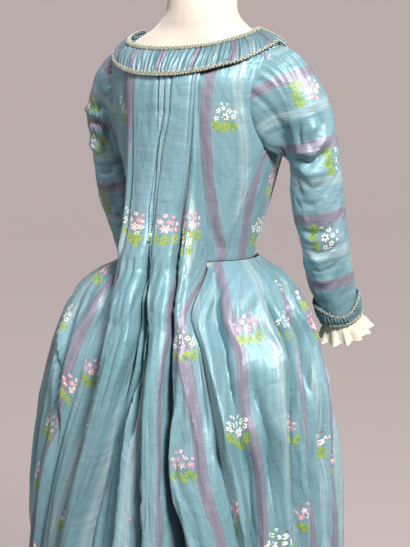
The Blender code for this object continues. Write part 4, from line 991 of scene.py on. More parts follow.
# Sleeves: the silk is cut crosswise, so its stripes go round the arm.
sleeve = {"around": 112, "along": 104, "head": 20, "gather": 0.0030, "ripple": 0.00085, "creases": 1.70,
          "pinch": 0.0075}
sleeveCreases = {
    "right": [
        (4.4, 6, [(100, 1174), (75, 1175), (55, 1170), (40, 1178), (20, 1188), (0, 1185)]),
        (-5.0, 4, [(114, 1162), (85, 1162), (65, 1155), (50, 1160), (35, 1166), (15, 1176)]),
        (-3.8, 5, [(60, 1220), (76, 1203), (77, 1186), (64, 1178)]), (3.4, 5, [(38, 1212), (48, 1198), (54, 1184)]),
        (3.2, 9, [(98, 1152), (72, 1140), (46, 1140), (20, 1150)]),
        (-2.6, 6, [(112, 1150), (92, 1136), (66, 1118), (30, 1122)]),
        (-2.2, 4, [(108, 1152), (106, 1136), (100, 1118), (90, 1108)]), (2.4, 8, [(112, 1226), (92, 1216), (72, 1228)]),
        (-2.4, 5, [(30, 1226), (24, 1206), (28, 1192)]), (-1.8, 5, [(104, 1100), (70, 1094), (38, 1102)]),
        (-1.8, 4, [(118, 1062), (90, 1054), (56, 1056), (20, 1066)]), (1.6, 4, [(116, 1050), (88, 1042), (54, 1045)]),
        (-2.0, 3.5, [(104, 1028), (80, 1021), (52, 1023), (18, 1034)]), (1.8, 4, [(104, 1018), (80, 1010), (52, 1013)]),
        (-1.8, 3.5, [(108, 1000), (84, 993), (54, 996), (20, 1008)]), (1.6, 4, [(104, 984), (82, 977), (50, 981)]),
        (1.4, 4, [(110, 1090), (96, 1080), (88, 1066)]), (-1.4, 3.5, [(120, 1110), (104, 1092), (98, 1076)]),
        (-2.0, 5, [(150, 1190), (170, 1170), (190, 1150)]), (2.0, 6, [(160, 1150), (190, 1130), (220, 1120)]),
        (-1.8, 5, [(200, 1080), (240, 1070), (280, 1076)]), (1.8, 6, [(240, 1160), (280, 1150), (320, 1156)]),
        (-2.0, 5, [(250, 1120), (290, 1110), (330, 1118)]), (1.6, 5, [(180, 1030), (230, 1020), (280, 1030)]),
    ],
    "left": [
        (-5.0, 3.6, [(56, 1238), (74, 1237), (92, 1240), (112, 1243), (130, 1238)]),
        (3.6, 7, [(8, 1226), (32, 1224), (60, 1227), (88, 1229), (110, 1222), (126, 1210)]),
        (-5.4, 3.8, [(52, 1206), (70, 1212), (92, 1214), (110, 1203), (126, 1188)]),
        (3.4, 6, [(44, 1196), (66, 1203), (92, 1200), (112, 1186)]),
        (-2.8, 5, [(50, 1182), (70, 1188), (92, 1181), (114, 1164)]),
        (-4.6, 4.5, [(112, 1232), (126, 1226), (132, 1214), (138, 1198), (146, 1174)]),
        (3.0, 6, [(40, 1176), (66, 1172), (92, 1162)]), (-2.2, 5, [(30, 1168), (54, 1158), (78, 1150)]),
        (-2.0, 4.5, [(120, 1132), (92, 1128), (60, 1130)]), (1.8, 5, [(118, 1116), (90, 1110), (58, 1114)]),
        (-1.6, 4, [(118, 1086), (90, 1080), (56, 1084)]), (1.6, 4, [(112, 1072), (86, 1066), (52, 1070)]),
        (-1.8, 4, [(110, 1044), (84, 1036), (50, 1042)]), (1.6, 4, [(108, 1026), (82, 1018), (50, 1024)]),
        (-1.6, 4, [(108, 1002), (84, 994), (54, 998)]), (1.6, 4, [(104, 984), (82, 977), (50, 981)]),
        (2.2, 7, [(12, 1236), (26, 1206), (40, 1186)]), (-2.2, 6, [(0, 1216), (12, 1190), (26, 1170)]),
        (-2.0, 5, [(160, 1186), (190, 1166), (220, 1150)]), (2.0, 6, [(250, 1150), (290, 1140), (330, 1150)]),
        (-2.0, 5, [(220, 1090), (260, 1080), (300, 1088)]), (1.6, 5, [(180, 1030), (230, 1020), (280, 1030)]),
    ],
}
threadLevels = {
    "right": [(0.930, 3.40), (0.972, 3.0), (1.019, 2.5), (1.073, 2.0), (1.127, 1.5), (1.179, 1.0), (1.30, -0.14)],
    "left": [(0.930, 3.75), (0.965, 3.5), (1.012, 3.0), (1.060, 2.5), (1.108, 2.0), (1.157, 1.5), (1.30, 0.15)],
}


def sleeveEnd(angle):
    return 0.938 - 0.018 * np.maximum(0.0, np.cos(angle - math.radians(48))) ** 3


def sleeveCloth(arm, side, tag, seed):
    around, along, head = sleeve["around"], sleeve["along"], sleeve["head"]
    loop = armholeRows + armholeRows[:1]
    hole = formPoint(side * np.array([r[0] for r in armholeRows], float), [r[1] for r in armholeRows], 0.0043)
    middle = hole.mean(axis=0)
    turn = np.arange(around) / around
    angle = 2 * math.pi * turn
    a, z = atIndex(loop, turn * (len(loop) - 1))
    start = formPoint(side * a, z, 0.0043)
    way = middle - start
    start = start + way / np.linalg.norm(way, axis=1, keepdims=True) * (0.0019 - 0.0006 * np.sin(angle))[:, None]
    headLevel = 1.172 + 0.043 * np.cos(angle)

    def pinch(level):
        near = np.exp(-((level - 1.150) / 0.040) ** 2)
        return -sleeve["pinch"] * near * np.maximum(0, np.cos(angle - math.radians(155)))

    ring = armPoint(arm, side, headLevel, angle, pinch(headLevel))
    inward = (ring - armPoint(arm, side, headLevel - 0.02, angle)) / 0.02
    c = np.cos(angle)
    out = np.stack([np.where(c > 0, 0.95, 1.0) * side, 0 * c, np.where(c > 0, -0.10, np.minimum(0, c) * 0.4)], axis=1)
    out /= np.linalg.norm(out, axis=1, keepdims=True)
    gap = np.linalg.norm(ring - start, axis=1, keepdims=True)
    p1 = start + out * gap * (0.22 + 0.12 * smooth(c, -0.5, -0.1))[:, None]
    p2 = ring + inward * gap * 0.34
    rows, flatLevel = [], []
    for r in range(head):
        t = r / head
        rows.append((1 - t)**3 * start + 3 * (1 - t)**2 * t * p1 + 3 * (1 - t) * t * t * p2 + t**3 * ring)
    end = sleeveEnd(angle) - 0.006
    for r in range(along):
        v = r / (along - 1)
        level = headLevel + (end - headLevel) * v
        ease = 0.0012 * np.sin(5 * angle + 9 * v) * min(1, 4 * (1 - v)) * min(1, 5 * v)
        rows.append(armPoint(arm, side, level, angle, ease + pinch(level)))
        flatLevel.append(level)
    points = np.stack(rows)
    down = runDown(points)
    level = np.concatenate([flatLevel[0][None, :] + (down[head] - down[:head]), np.stack(flatLevel)])
    degrees = np.repeat(np.degrees(angle)[None, :], len(points), axis=0)
    grid = Cloth(points, down, down, degrees, level, points.mean(axis=1, keepdims=True), True)
    order = np.arange(len(points))
    inside = (smooth(order, 2, 9) * smooth(len(points) - 1 - order, 0, 5))[:, None]
    drawn = [(d, w, [(q * 0.70, y) for q, y in path]) for d, w, path in sleeveCreases[tag]]
    field = creaseField(degrees * 0.70, level * 1000, drawn) / 1000 * sleeve["creases"]
    wrap = np.minimum(degrees, 360 - degrees)
    gathers = sleeve["gather"] * np.sin(degrees * 0.42 + 1.4 * np.sin(degrees * 0.09)) * np.exp(-down / 0.030) * (
        1 - smooth(wrap, 105, 140)) * smooth(down, 0, 0.006)
    rad = np.radians(degrees)
    waves = (ripple(0.034 * np.cos(rad), level + 0.5 * np.sin(rad) * 0.068, 0.030, 0.012, seed)
             + ripple(0.034 * np.cos(rad) + 0.2 * np.sin(rad) * 0.034, level, 0.012, 0.024, seed + 5))
    points = points + grid.normals * (inside * (field + sleeve["ripple"] * waves) + gathers)[..., None]
    marks = threadLevels[tag]
    u = np.interp(level, [q[0] for q in marks], [q[1] for q in marks]) * repeat - np.maximum(level - 1.30, 0)
    v = np.radians(degrees) * 0.040
    return Cloth(points, np.concatenate([u, u[:, :1]], axis=1),
                 np.concatenate([v, v[:, :1] + 2 * math.pi * 0.040], axis=1),
                 degrees * perDegree["arm"], level, points.mean(axis=1, keepdims=True), True)


# Ruched cuffs and the lace below them.
cuff = {"gathers": 44, "each": 9, "rows": 13, "wave": 0.0013, "crumple": 0.0012, "puff": 0.0026}
lace = {"waves": 12, "each": 18, "rows": 16, "scallops": 30, "drop": 0.033}


def cuffCloth(arm, side, seed):
    count = cuff["gathers"] * cuff["each"]
    turn = np.arange(count) / count
    angle = 2 * math.pi * turn
    rnd = random.Random(seed)
    wander = sum(rnd.uniform(0.3, 0.6) * np.sin(k * angle + rnd.uniform(0, 6)) for k in (3, 5, 8))
    top = sleeveEnd(angle)
    rows = []
    for r in range(cuff["rows"]):
        v = r / (cuff["rows"] - 1)
        level = top + (levels["cuffEdge"] - top) * v
        lift = 0.0030 + cuff["puff"] * math.sin(math.pi * v) ** 0.7 + 0.0004 * v
        stitched = math.exp(-((v - 0.10) / 0.07) ** 2) + math.exp(-((v - 0.88) / 0.07) ** 2)
        wave = cuff["wave"] * (np.cos(cuff["gathers"] * angle + wander) * (0.7 + 0.3 * np.sin(7 * angle + 3 * v)))
        rim = max(0.0, abs(2 * v - 1) - 0.8) * 5
        fold = 0.4 - np.abs(ripple(0.030 * np.cos(angle), 0.030 * np.sin(angle) + 0.02 * v, 0.0050, 0.0050, seed))
        height = lift + (wave + cuff["crumple"] * fold) * (1 - 0.3 * stitched + 0.5 * rim) - 0.0008 * stitched
        rows.append(armPoint(arm, side, level + 0.0012 * rim * np.sin(cuff["gathers"] * angle + 1), angle, height))
    points = np.stack(rows)
    u = np.repeat(np.linspace(0, cuff["rows"] * 0.0035, cuff["rows"])[:, None], count + 1, axis=1) + 0.012
    v = np.repeat((np.arange(count + 1) / count * 0.45)[None, :], cuff["rows"], axis=0)
    return Cloth(points, u, v, np.degrees(angle)[None, :] * perDegree["arm"] + 0 * points[..., 0], points[..., 2],
                 points.mean(axis=1, keepdims=True), True)


def laceCloth(arm, side, seed):
    count = lace["waves"] * lace["each"]
    angle = 2 * math.pi * np.arange(count) / count
    middle = armPoint(arm, side, levels["laceTop"], 0.0) + armPoint(arm, side, levels["laceTop"], math.pi)
    above = armPoint(arm, side, levels["laceTop"] + 0.01, 0.0) + armPoint(arm, side, levels["laceTop"] + 0.01, math.pi)
    down = (middle - above) / np.linalg.norm(middle - above)
    rnd = random.Random(seed)
    sway = sum(rnd.uniform(0.15, 0.35) * np.sin(k * angle + rnd.uniform(0, 6)) for k in (2, 3, 5))
    rows = []
    for r in range(lace["rows"]):
        t = r / (lace["rows"] - 1)
        out = float(curve([0, .21, .6, 1], [.0003, .0005, .0050, .0110], t))
        swing = float(curve([0, .21, .6, 1], [.0001, .0003, .0024, .0046], t))
        phase = lace["waves"] * angle + sway * t
        scallop = 0.0014 * np.abs(np.sin(lace["scallops"] * angle)) * smooth(t, 0.8, 1.0)
        p = armPoint(arm, side, levels["laceTop"], angle, out + swing * np.cos(phase)
                     + 0.0008 * t * np.cos(2 * phase + 1) + 0.0005 * t * np.sin(31 * angle))
        rows.append(p + down * (lace["drop"] * t + scallop)[:, None])
    points = np.stack(rows)
    u = np.repeat((np.arange(count + 1) / count * 0.62)[None, :], lace["rows"], axis=0)
    v = np.repeat(np.linspace(0, 0.036, lace["rows"])[:, None], count + 1, axis=1)
    return Cloth(points, u, v, np.degrees(angle)[None, :] + 0 * points[..., 0], points[..., 2],
                 points.mean(axis=1, keepdims=True), True)


laceLook = {"colour": (0.78, 0.70, 0.58), "net": 0.0016, "open": 0.45, "border": 0.006}


def makeLace(look):
    net = Finish("cream lace", {"Roughness": 0.72, "Sheen Weight": 0.2})
    cloth = net.add("ShaderNodeUVMap", {"uv_map": "Cloth"})
    cells = net.add("ShaderNodeTexVoronoi", {"feature": "DISTANCE_TO_EDGE"},
                    {"Vector": cloth, "Scale": 1 / look["net"]})
    sprig = net.add("ShaderNodeTexVoronoi", {"feature": "F1"}, {"Vector": cloth, "Scale": 85.0})
    v = net.add("ShaderNodeSeparateXYZ", {}, {0: cloth}, 1)
    solid = net.step(v, 0.036 - look["border"], 0.0345).math("MAXIMUM", 1.0 - net.step(sprig, 0.22, 0.34))
    mesh = (1.0 - net.step(cells, 0.10, 0.22)).math("MAXIMUM", solid)
    net.feed("Alpha", mesh * (1 - look["open"]) + look["open"])
    net.feed("Base Color", net.blend((0.60, 0.52, 0.42), look["colour"], mesh))
    net.feed("Normal", net.bump(mesh, 0.0003, 0.7))
    return net.material


laceFinish = makeLace(laceLook)
sleeves = {}
arms = ((1, "left", leftArm), (-1, "right", rightArm))
for side, tag, arm in arms:
    sleeves[tag] = sleeveCloth(arm, side, tag, 61.0 + side)
    sew("sleeve_" + tag, "silk", sleeves[tag], walls["silk"], silk)
    sew("cuff_" + tag, "ruched", cuffCloth(arm, side, 5 + side), walls["silk"], ruchedSilkPaintedShade)
    sew("lace_" + tag, "ruffle", laceCloth(arm, side, 9 + side), walls["lace"], laceFinish)
print("sleeves, cuffs and lace made")


# Ruched neck band and the gimp braid along its edges.
band = {"gathers": 150, "each": 8, "rows": 13, "wave": 0.0013, "crumple": 0.0022, "puff": 0.0026}
gimp = {"period": 0.0090, "swing": 0.0031, "thread": 0.00056, "sides": 5, "perTurn": 10, "lift": 0.0032}
bandBoth = [(-a, z, -b, y, lift) for a, z, b, y, lift in reversed(bandRows[1:])] + list(bandRows)
bandStops = np.linspace(0, len(bandBoth) - 1, 601)
stops = atIndex(bandBoth, bandStops)
centre = formPoint((stops[0] + stops[2]) / 2, (stops[1] + stops[3]) / 2, 0.008)
bandRun = np.concatenate([[0], np.cumsum(np.linalg.norm(np.diff(centre, axis=0), axis=1))])


def bandPoint(run, v, rise):
    s = np.interp(run, bandRun, bandStops)
    a, z, b, y, lift = atIndex(bandBoth, s)
    return formPoint(a + (b - a) * v, z + (y - z) * v, lift / 1000 + rise)


count = band["gathers"] * band["each"]
run = np.linspace(0, bandRun[-1], count + 1)
wander = 1.5 * np.sin(run * 31) + 1.1 * np.sin(run * 53 + 1) + 0.8 * np.sin(run * 97 + 2)
phase = 2 * math.pi * band["gathers"] * run / bandRun[-1] + wander
depth = 0.75 + 0.35 * np.sin(run * 71) * np.sin(run * 29 + 1)
rowsOut = []
for r in range(band["rows"]):
    v = r / (band["rows"] - 1)
    stitched = math.exp(-((v - 0.07) / 0.06) ** 2) + math.exp(-((v - 0.93) / 0.06) ** 2)
    lean = phase + 1.2 * np.sin(v * math.pi) * np.sin(run * 43)
    ridge = np.sign(np.cos(lean)) * np.abs(np.cos(lean)) ** 0.8
    crumple = 0.4 - np.abs(ripple(run, 0.016 * v + 0 * run, 0.0078, 0.030, 81.0)) + 0.5 * ripple(
        run, 0.040 * v + 0 * run, 0.0040, 0.020, 83.0)
    rise = -0.0004 + band["puff"] * math.sin(math.pi * v) ** 0.8 + (
        band["wave"] * depth * ridge + band["crumple"] * crumple) * (1.1 - 0.6 * stitched)
    rowsOut.append(bandPoint(run, v, rise))
points = np.stack(rowsOut)
u = np.repeat((run * 1.85 + 0.012)[None, :], band["rows"], axis=0)
v = np.repeat(np.linspace(0, 0.040, band["rows"])[:, None], count + 1, axis=1)
neckBand = Cloth(points, u, v, np.repeat(run[None, :], band["rows"], axis=0), v, np.array([0, 0, 1.22]))
sew("neck_band", "ruched", neckBand, walls["band"], ruchedSilkPaintedShade)


gimpLooks = [threads["cream"], threads["sage"]]


def cordTubes(name, strands, nodes):
    # Round threads along lines of points; each strand is (points, radius, material index, closed).
    verts, faces, marks = [], [], []
    for points, radius, mark, closed in strands:
        ahead = np.roll(points, -1, axis=0) - np.roll(points, 1, axis=0) if closed else np.gradient(points, axis=0)
        ahead /= np.linalg.norm(ahead, axis=1, keepdims=True)
        first = np.cross(ahead, np.array([0.3, 0.2, 1.0]))
        first /= np.linalg.norm(first, axis=1, keepdims=True)
        second = np.cross(ahead, first)
        sides, base, n = gimp["sides"], len(verts), len(points)
        ring = [points + radius
                * (math.cos(2 * math.pi * k / sides) * first + math.sin(2 * math.pi * k / sides) * second)
                for k in range(sides)]
        verts.extend(np.stack(ring, axis=1).reshape(-1, 3))
        for r in range(n if closed else n - 1):
            q = (r + 1) % n
            for k in range(sides):
                j = (k + 1) % sides
                faces.append((base + r * sides + k, base + r * sides + j, base + q * sides + j, base + q * sides + k))
                marks.append(mark)
        if not closed:
            faces += [tuple(base + k for k in reversed(range(sides))),
                      tuple(base + (n - 1) * sides + k for k in range(sides))]
            marks += [mark, mark]
    obj = meshFrom(name, np.array(verts), faces, None, gimpLooks, 80)
    obj.data.polygons.foreach_set("material_index", marks)
    if nodes:
        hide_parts(*nodes)
    return obj


def gimpStrands(place, length, swing, closed=False):
    # Two threads that weave over each other and a straight one between them.
    turns = round(length / gimp["period"])
    n = turns * gimp["perTurn"]
    t = np.arange(n + (0 if closed else 1)) / n
    strands = []
    for k in (0, 1):
        phase = 2 * math.pi * turns * t + k * math.pi
        strands.append((place(t + 0.0018 / length * np.sin(2 * phase), swing * np.sin(phase),
                              gimp["lift"] + 0.0006 * np.cos(2 * phase + k * math.pi)), gimp["thread"], 0, closed))
    strands.append((place(t, 0.7 * swing * np.cos(4 * math.pi * turns * t), gimp["lift"] + 0.0002 + 0 * t),
                    gimp["thread"], 1, closed))
    return strands


for tag, middle in (("upper", 0.06), ("lower", 0.94)):
    def onBand(t, across, lift, middle=middle):
        low = bandPoint(t * bandRun[-1], middle, 0.0)[..., 2]
        return bandPoint(t * bandRun[-1], middle + across / 0.040, lift * (0.30 + 0.70 * smooth(low, 1.20, 1.27)))
    cordTubes(f"braid_{tag}_gimp", gimpStrands(onBand, bandRun[-1], gimp["swing"]),
                                           [f"braid_{tag}"])
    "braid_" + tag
for side, tag, arm in arms:
    strands = []
    for v in (0.10, 0.88):
        def onCuff(t, across, lift, v=v):
            angle = 2 * math.pi * t
            top = sleeveEnd(angle)
            return armPoint(arm, side, top + (levels["cuffEdge"] - top) * v + across, angle, lift + 0.0022)
        strands += gimpStrands(onCuff, 0.24, gimp["swing"] * 0.7, True)
    cordTubes(f"cuff_{tag}_gimp", strands, [])
    "cuffBraid_" + tag
print("neck band and gimp made")


# Brocaded sprays: small raised petals and leaves that follow the cloth. Each blossom is x, y, radius, petals and two
# threads; each cluster of leaves is x and y; all in mm.
threadOrder = ["white", "pink", "rose", "red", "leaf", "stem", "lilac"]
spray = {"height": 0.00045, "sunk": -0.00008, "jitter": 0.08, "size": 1.0}
sprayKinds = {
    "white": {
        "blossoms": [(1, 4, 6.4, 6, "white", "red"), (-12, 2, 4.2, 5, "white", "red"), (14, 3, 4.2, 5, "white", "red"),
                     (-9, 13, 4.2, 5, "white", "stem"), (10, 14, 4.2, 5, "white", "red"),
                     (0, 18, 3.8, 5, "white", "stem"),
                     (-18, 10, 2.8, 5, "lilac", "red"), (18, 11, 3.0, 5, "white", "red"),
                     (-5, 26, 2.8, 5, "white", "stem"),
                     (7, 24, 2.6, 5, "white", "red"), (-13, 20, 2.0, 4, "red", "white"),
                     (15, 20, 1.8, 4, "red", "white")],
    },
    "pink": {
        "blossoms": [(0, 3, 6.8, 6, "rose", "white"), (12, 4, 4.8, 5, "pink", "white"),
                     (-12, 5, 4.6, 5, "pink", "rose"),
                     (5, 14, 4.8, 5, "pink", "rose"), (-6, 15, 4.8, 5, "rose", "white"),
                     (15, 13, 3.4, 5, "rose", "pink"),
                     (-16, 14, 2.8, 5, "pink", "white"), (0, 24, 3.8, 5, "rose", "white"),
                     (9, 23, 2.8, 5, "pink", "white"),
                     (-10, 24, 1.8, 4, "red", "rose")],
    },
}
leafClusters = [(-13, -11), (-1, -14), (12, -12)]


def petalShapes(kind, rnd):
    # Rims, middles, height and thread of every little shape in one spray.
    shapes = []

    def oval(x, y, long, wide, lean, lift, thread, count=8):
        turn = [2 * math.pi * k / count for k in range(count)]
        c, s = math.cos(lean), math.sin(lean)
        rim = [(x + long * math.cos(t) * c - wide * math.sin(t) * s,
                y + long * math.cos(t) * s + wide * math.sin(t) * c)
               for t in turn]
        shapes.append((rim, (x, y), lift, thread))

    for x, y in leafClusters:
        for k in range(3):
            oval(x + rnd.uniform(-3, 3), y + rnd.uniform(-2, 2), 7.4, 6.2, rnd.uniform(0, 3), 0.15, "stem", 11)
        for k in range(11):
            lean = math.radians(90 + rnd.uniform(-12, 12) + k * 33)
            far = rnd.uniform(4.6, 7.0)
            oval(x + far * math.cos(lean), y + far * math.sin(lean), rnd.uniform(2.8, 3.8), rnd.uniform(1.6, 2.2),
                 lean + rnd.uniform(-0.5, 0.5), 0.8, "leaf" if rnd.random() < 0.9 else "stem", 7)
        for k in range(7):
            lean = math.radians(rnd.uniform(-15, 15) + k * 51)
            far = rnd.uniform(1.4, 3.4)
            oval(x + far * math.cos(lean), y + far * math.sin(lean), rnd.uniform(2.2, 3.0), rnd.uniform(1.3, 1.8),
                 lean + rnd.uniform(-0.6, 0.6), 1.0, "leaf" if k % 4 else "stem", 7)
    for k in range(14):
        oval(rnd.uniform(-17, 17), rnd.uniform(-25, -17), rnd.uniform(1.4, 2.6), 0.8, rnd.uniform(1, 2.2), 0.6,
             "stem" if k % 3 == 0 else "leaf", 6)
    for k in range(10):
        oval(rnd.uniform(-16, 16), rnd.uniform(-4, 22), rnd.uniform(1.4, 2.4), 0.55, rnd.uniform(0.6, 2.6), 0.5,
             "stem" if k % 4 else "lilac", 6)
    for x, y, radius, petals, colour, middle in sprayKinds[kind]["blossoms"]:
        x, y, radius = x + rnd.uniform(-1, 1), y * 0.92 + rnd.uniform(-1, 1), radius * 1.10
        oval(x, y, radius * 1.16, radius * 1.08, rnd.uniform(0, 3), 0.25, "stem" if kind == "white" else "lilac", 10)
        turn = rnd.uniform(0, 6)
        oval(x * 0.55, y * 0.5 - 3, 2.6, 0.45, math.atan2(y + 10, x + 0.01), 0.3, "stem", 6)
        for k in range(petals):
            lean = turn + 2 * math.pi * k / petals
            oval(x + 0.56 * radius * math.cos(lean), y + 0.56 * radius * math.sin(lean), 0.45 * radius,
                 0.33 * radius * 5.2 / petals, lean, 1.0, colour, 8)
        oval(x, y, 0.26 * radius, 0.26 * radius, 0, 1.9, middle, 7)
        if radius > 6:
            for k in range(petals):
                lean = turn + 2 * math.pi * (k + 0.5) / petals
                oval(x + 0.45 * radius * math.cos(lean), y + 0.45 * radius * math.sin(lean), 0.17 * radius,
                     0.05 * radius,
                     lean, 1.4, "red" if kind == "white" else "pink", 6)
    return shapes


def brocade(name, cloth, wall, places, seed):
    # Places are (u, v, kind); every point of a spray is found on the cloth through its thread coordinates.
    rows, cols = cloth.points.shape[:2]
    u, v = cloth.u[:, :cols], cloth.v[:, :cols]
    grid = np.arange(rows * cols).reshape(rows, cols)
    a, b, c, d = grid[:-1, :-1].ravel(), grid[:-1, 1:].ravel(), grid[1:, 1:].ravel(), grid[1:, :-1].ravel()
    tris = np.concatenate([np.stack([a, b, c], 1), np.stack([a, c, d], 1)]).tolist()
    flat = [Vector((x, y, 0)) for x, y in zip(u.ravel(), v.ravel())]
    solid = [Vector(p) for p in cloth.points.reshape(-1, 3)]
    normal = cloth.normals.reshape(-1, 3)
    tree = BVHTree.FromPolygons(flat, tris)
    rnd = random.Random(seed)
    verts, faces, marks = [], [], []

    def onCloth(x, y, lift):
        near, _, index, far = tree.find_nearest(Vector((x, y, 0)))
        i, j, k = tris[index]
        p = barycentric_transform(near, flat[i], flat[j], flat[k], solid[i], solid[j], solid[k])
        n = normal[i] + normal[j] + normal[k]
        return np.array(p) + n / np.linalg.norm(n) * (wall / 2 + lift), far

    for u0, v0, kind in places:
        size = spray["size"] + rnd.uniform(-spray["jitter"], spray["jitter"])
        flip = rnd.choice((-1, 1))
        for rim, middle, lift, thread in petalShapes(kind, rnd):
            pts, worst = [], 0
            for x, y in [middle] + rim:
                x, y = flip * x * size / 1000, y * size / 1000
                high = spray["height"] * lift if not pts else spray["sunk"]
                p, far = onCloth(u0 + x, v0 - y, high)
                pts.append(p)
                worst = max(worst, far)
            spread = max(float(np.linalg.norm(p - pts[0])) for p in pts[1:])
            if worst > 0.0008 or spread > 0.009 * size:
                continue
            base = len(verts)
            verts += pts
            n = len(rim)
            for k in range(n):
                j = (k + 1) % n
                faces.append((base, base + 1 + k, base + 1 + j))
                marks.append(threadOrder.index(thread))
    if not faces:
        return None
    points = np.array(verts)
    corner = points[np.array(faces)]
    facing = np.cross(corner[:, 1] - corner[:, 0], corner[:, 2] - corner[:, 0])
    mid = corner.mean(axis=1)
    away = np.array([normal[i] for i in nearestIndex(mid, cloth)])
    faces = [f if t > 0 else (f[0], f[2], f[1]) for f, t in zip(faces, np.sum(facing * away, axis=1))]
    obj = meshFrom(name, points, faces, None, [threads[t] for t in threadOrder], 60)
    obj.data.polygons.foreach_set("material_index", marks)
    return obj


def nearestIndex(points, cloth):
    rows, cols = cloth.points.shape[:2]
    tree = BVHTree.FromPolygons([Vector(p) for p in cloth.points.reshape(-1, 3)],
                                [(k, k + 1, k + cols) for k in range((rows - 1) * cols)])
    return [tree.find_nearest(Vector(p))[2] for p in points]


sprayRows = {"first": 0.42, "spacing": 0.31, "across": 0.040, "down": 0.095, "reach": 0.008}


def lattice(cloth, taken, drop=0.0):
    # Half-drop rows between the stripes, away from the sprays already placed.
    places = []
    cols = cloth.points.shape[1]
    low, high = cloth.u.min(), cloth.u.max()
    k = math.floor((low / repeat - 0.25) * 2)
    while (0.25 + 0.5 * k) * repeat < high:
        u0 = (0.25 + 0.5 * k) * repeat
        j = 0
        while True:
            v0 = sprayRows["first"] + (j + (0.5 if k % 2 else 0)) * sprayRows["spacing"] + drop
            if v0 > cloth.v.max():
                break
            d = (cloth.u[:, :cols] - u0) ** 2 + (cloth.v[:, :cols] - v0) ** 2
            if d.min() < sprayRows["reach"]**2 and all(
                    abs(u0 - a) > sprayRows["across"] or abs(v0 - b) > sprayRows["down"] for a, b, _ in taken):
                places.append((u0, v0, "white" if (j + k // 2) % 2 else "pink"))
            j += 1
        k += 1
    return places


# Sprays placed one by one: (place, level, kind), place in mm round the ring or degrees over the form and the arm.
placedSprays = {
    "sack": [(60, 1054, "white"), (33, 1052, "pink"), (6, 1041, "white"), (-25, 1047, "pink"), (-56, 1036, "white"),
             (-69, 1056, "pink"),
             (44, 750, "white"), (11, 752, "pink"), (92, 820, "pink"), (91, 672, "pink"), (-118, 717, "pink"),
             (-12, 592, "white"), (-61, 612, "pink"), (-92, 889, "white"), (120, 590, "white"), (-150, 560, "pink"),
             (60, 470, "pink"), (10, 430, "white"), (-100, 450, "white"), (150, 420, "pink"), (-190, 400, "pink"),
             (100, 330, "white"), (-40, 320, "pink"), (20, 210, "pink"), (-120, 240, "white"), (200, 240, "white"),
             (-210, 200, "white"), (110, 130, "pink"), (-60, 120, "white"), (-160, 90, "pink"), (230, 90, "pink")],
    "right": [(-184, 912, "pink"), (-243, 917, "white"), (-292, 942, "white"), (-196, 762, "white"),
              (-195, 628, "pink"), (-279, 762, "pink"), (-351, 722, "white"), (-414, 690, "pink"), (-317, 641, "pink"),
              (-266, 597, "white"), (-340, 897, "pink")],
    "left": [(127, 972, "pink"), (174, 720, "white"), (153, 605, "white"), (118, 790, "pink"), (168, 900, "white"),
             (196, 840, "pink"), (220, 640, "pink")],
}
pieceSprays, sprayCounts = {}, []


def addSprays(key, cloth, wall, chosen, seed):
    obj = brocade(f"{key}_sprays", cloth, wall, chosen, seed)
    sprayCounts.append(len(chosen))
    if obj is not None:
        pieceSprays[key] = obj


def placed(cloth, rows, scale=0.001):
    found = [(cloth.find(p * scale, z / 1000), kind) for p, z, kind in rows]
    return [(uv[0], uv[1], kind) for uv, kind in found if uv is not None]


addSprays("sack", sack, walls["silk"], placed(sack, placedSprays["sack"]), 101)
for tag in ("right", "left"):
    chosen = placed(skirts[tag], placedSprays[tag])
    more = lattice(skirts[tag], chosen)
    addSprays("skirt_" + tag, skirts[tag], walls["silk"], chosen + more, 103)
addSprays("petticoat", petticoat, walls["silk"], lattice(petticoat, [], 0.02), 105)
frontSprays = [(104, 1120, "pink"), (98, 1040, "white"), (128, 1190, "white"), (138, 1090, "pink"), (120, 1262, "pink")]
for part, places, seed in (("back_right", [(44, 1219, "white")], 107),
                           ("back_left", [(38, 1226, "white"), (50, 1075, "pink")], 109),
                           ("front_right", frontSprays, 111), ("front_left", frontSprays, 111)):
    addSprays("bodice_" + part, bodices[part], walls["bodice"],
              placed(bodices[part], places, perDegree["form"]), seed)
addSprays("stomacher", stomacher, walls["stomacher"], [(0.0, 0.10, "pink"), (0.0, 0.22, "white")], 113)
sleeveSprays = {
    "right": [(40, 1259, "pink"), (2, 1158, "white"), (60, 1046, "white"), (200, 1160, "pink"), (270, 1240, "white"),
              (160, 1050, "pink"), (300, 1040, "pink"), (250, 1100, "white"), (320, 992, "white"), (190, 996, "white")],
    "left": [(60, 1259, "pink"), (72, 1182, "white"), (58, 1082, "pink"), (200, 1180, "pink"), (290, 1240, "white"),
             (170, 1082, "white"), (300, 1080, "pink"), (340, 1180, "white"), (20, 1034, "white"), (220, 1034, "pink")],
}
for tag in ("right", "left"):
    cloth = sleeves[tag]
    found = []
    for a, z, kind in sleeveSprays[tag]:
        where = cloth.find(a * perDegree["arm"], z / 1000)
        if where is not None:
            row = round((where[0] / repeat - 0.25) * 2)
            found.append(((0.25 + 0.5 * row) * repeat, where[1], kind))
    addSprays("sleeve_" + tag, cloth, walls["silk"], found, 115)
print("brocaded sprays", sum(sprayCounts))


# Padded form under the gown: a knitted cover over a smooth body, with a seam at the neck base and down the back.
formLook = {"cover": (0.66, 0.56, 0.485), "shade": (0.55, 0.44, 0.37), "seam": 0.0006, "around": 84}


def makeCover(look):
    cover = Finish("knitted cover", {"Sheen Weight": 0.4, "Sheen Roughness": 0.5, "Specular IOR Level": 0.25})
    place = cover.objectPlace()
    knit = cover.grain(place, (1500, 1500, 900))
    mottle = cover.cloud(place, 9.0, 3.0)
    cover.feed("Base Color",
               cover.blend(look["shade"], look["cover"], cover.step(mottle + (knit - 0.5) * 0.3, 0.22, 0.62)))
    cover.feed("Roughness", 0.82 + (knit - 0.5) * 0.2)
    cover.feed("Normal", cover.bump(knit, 0.0003, 0.5))
    return cover.material


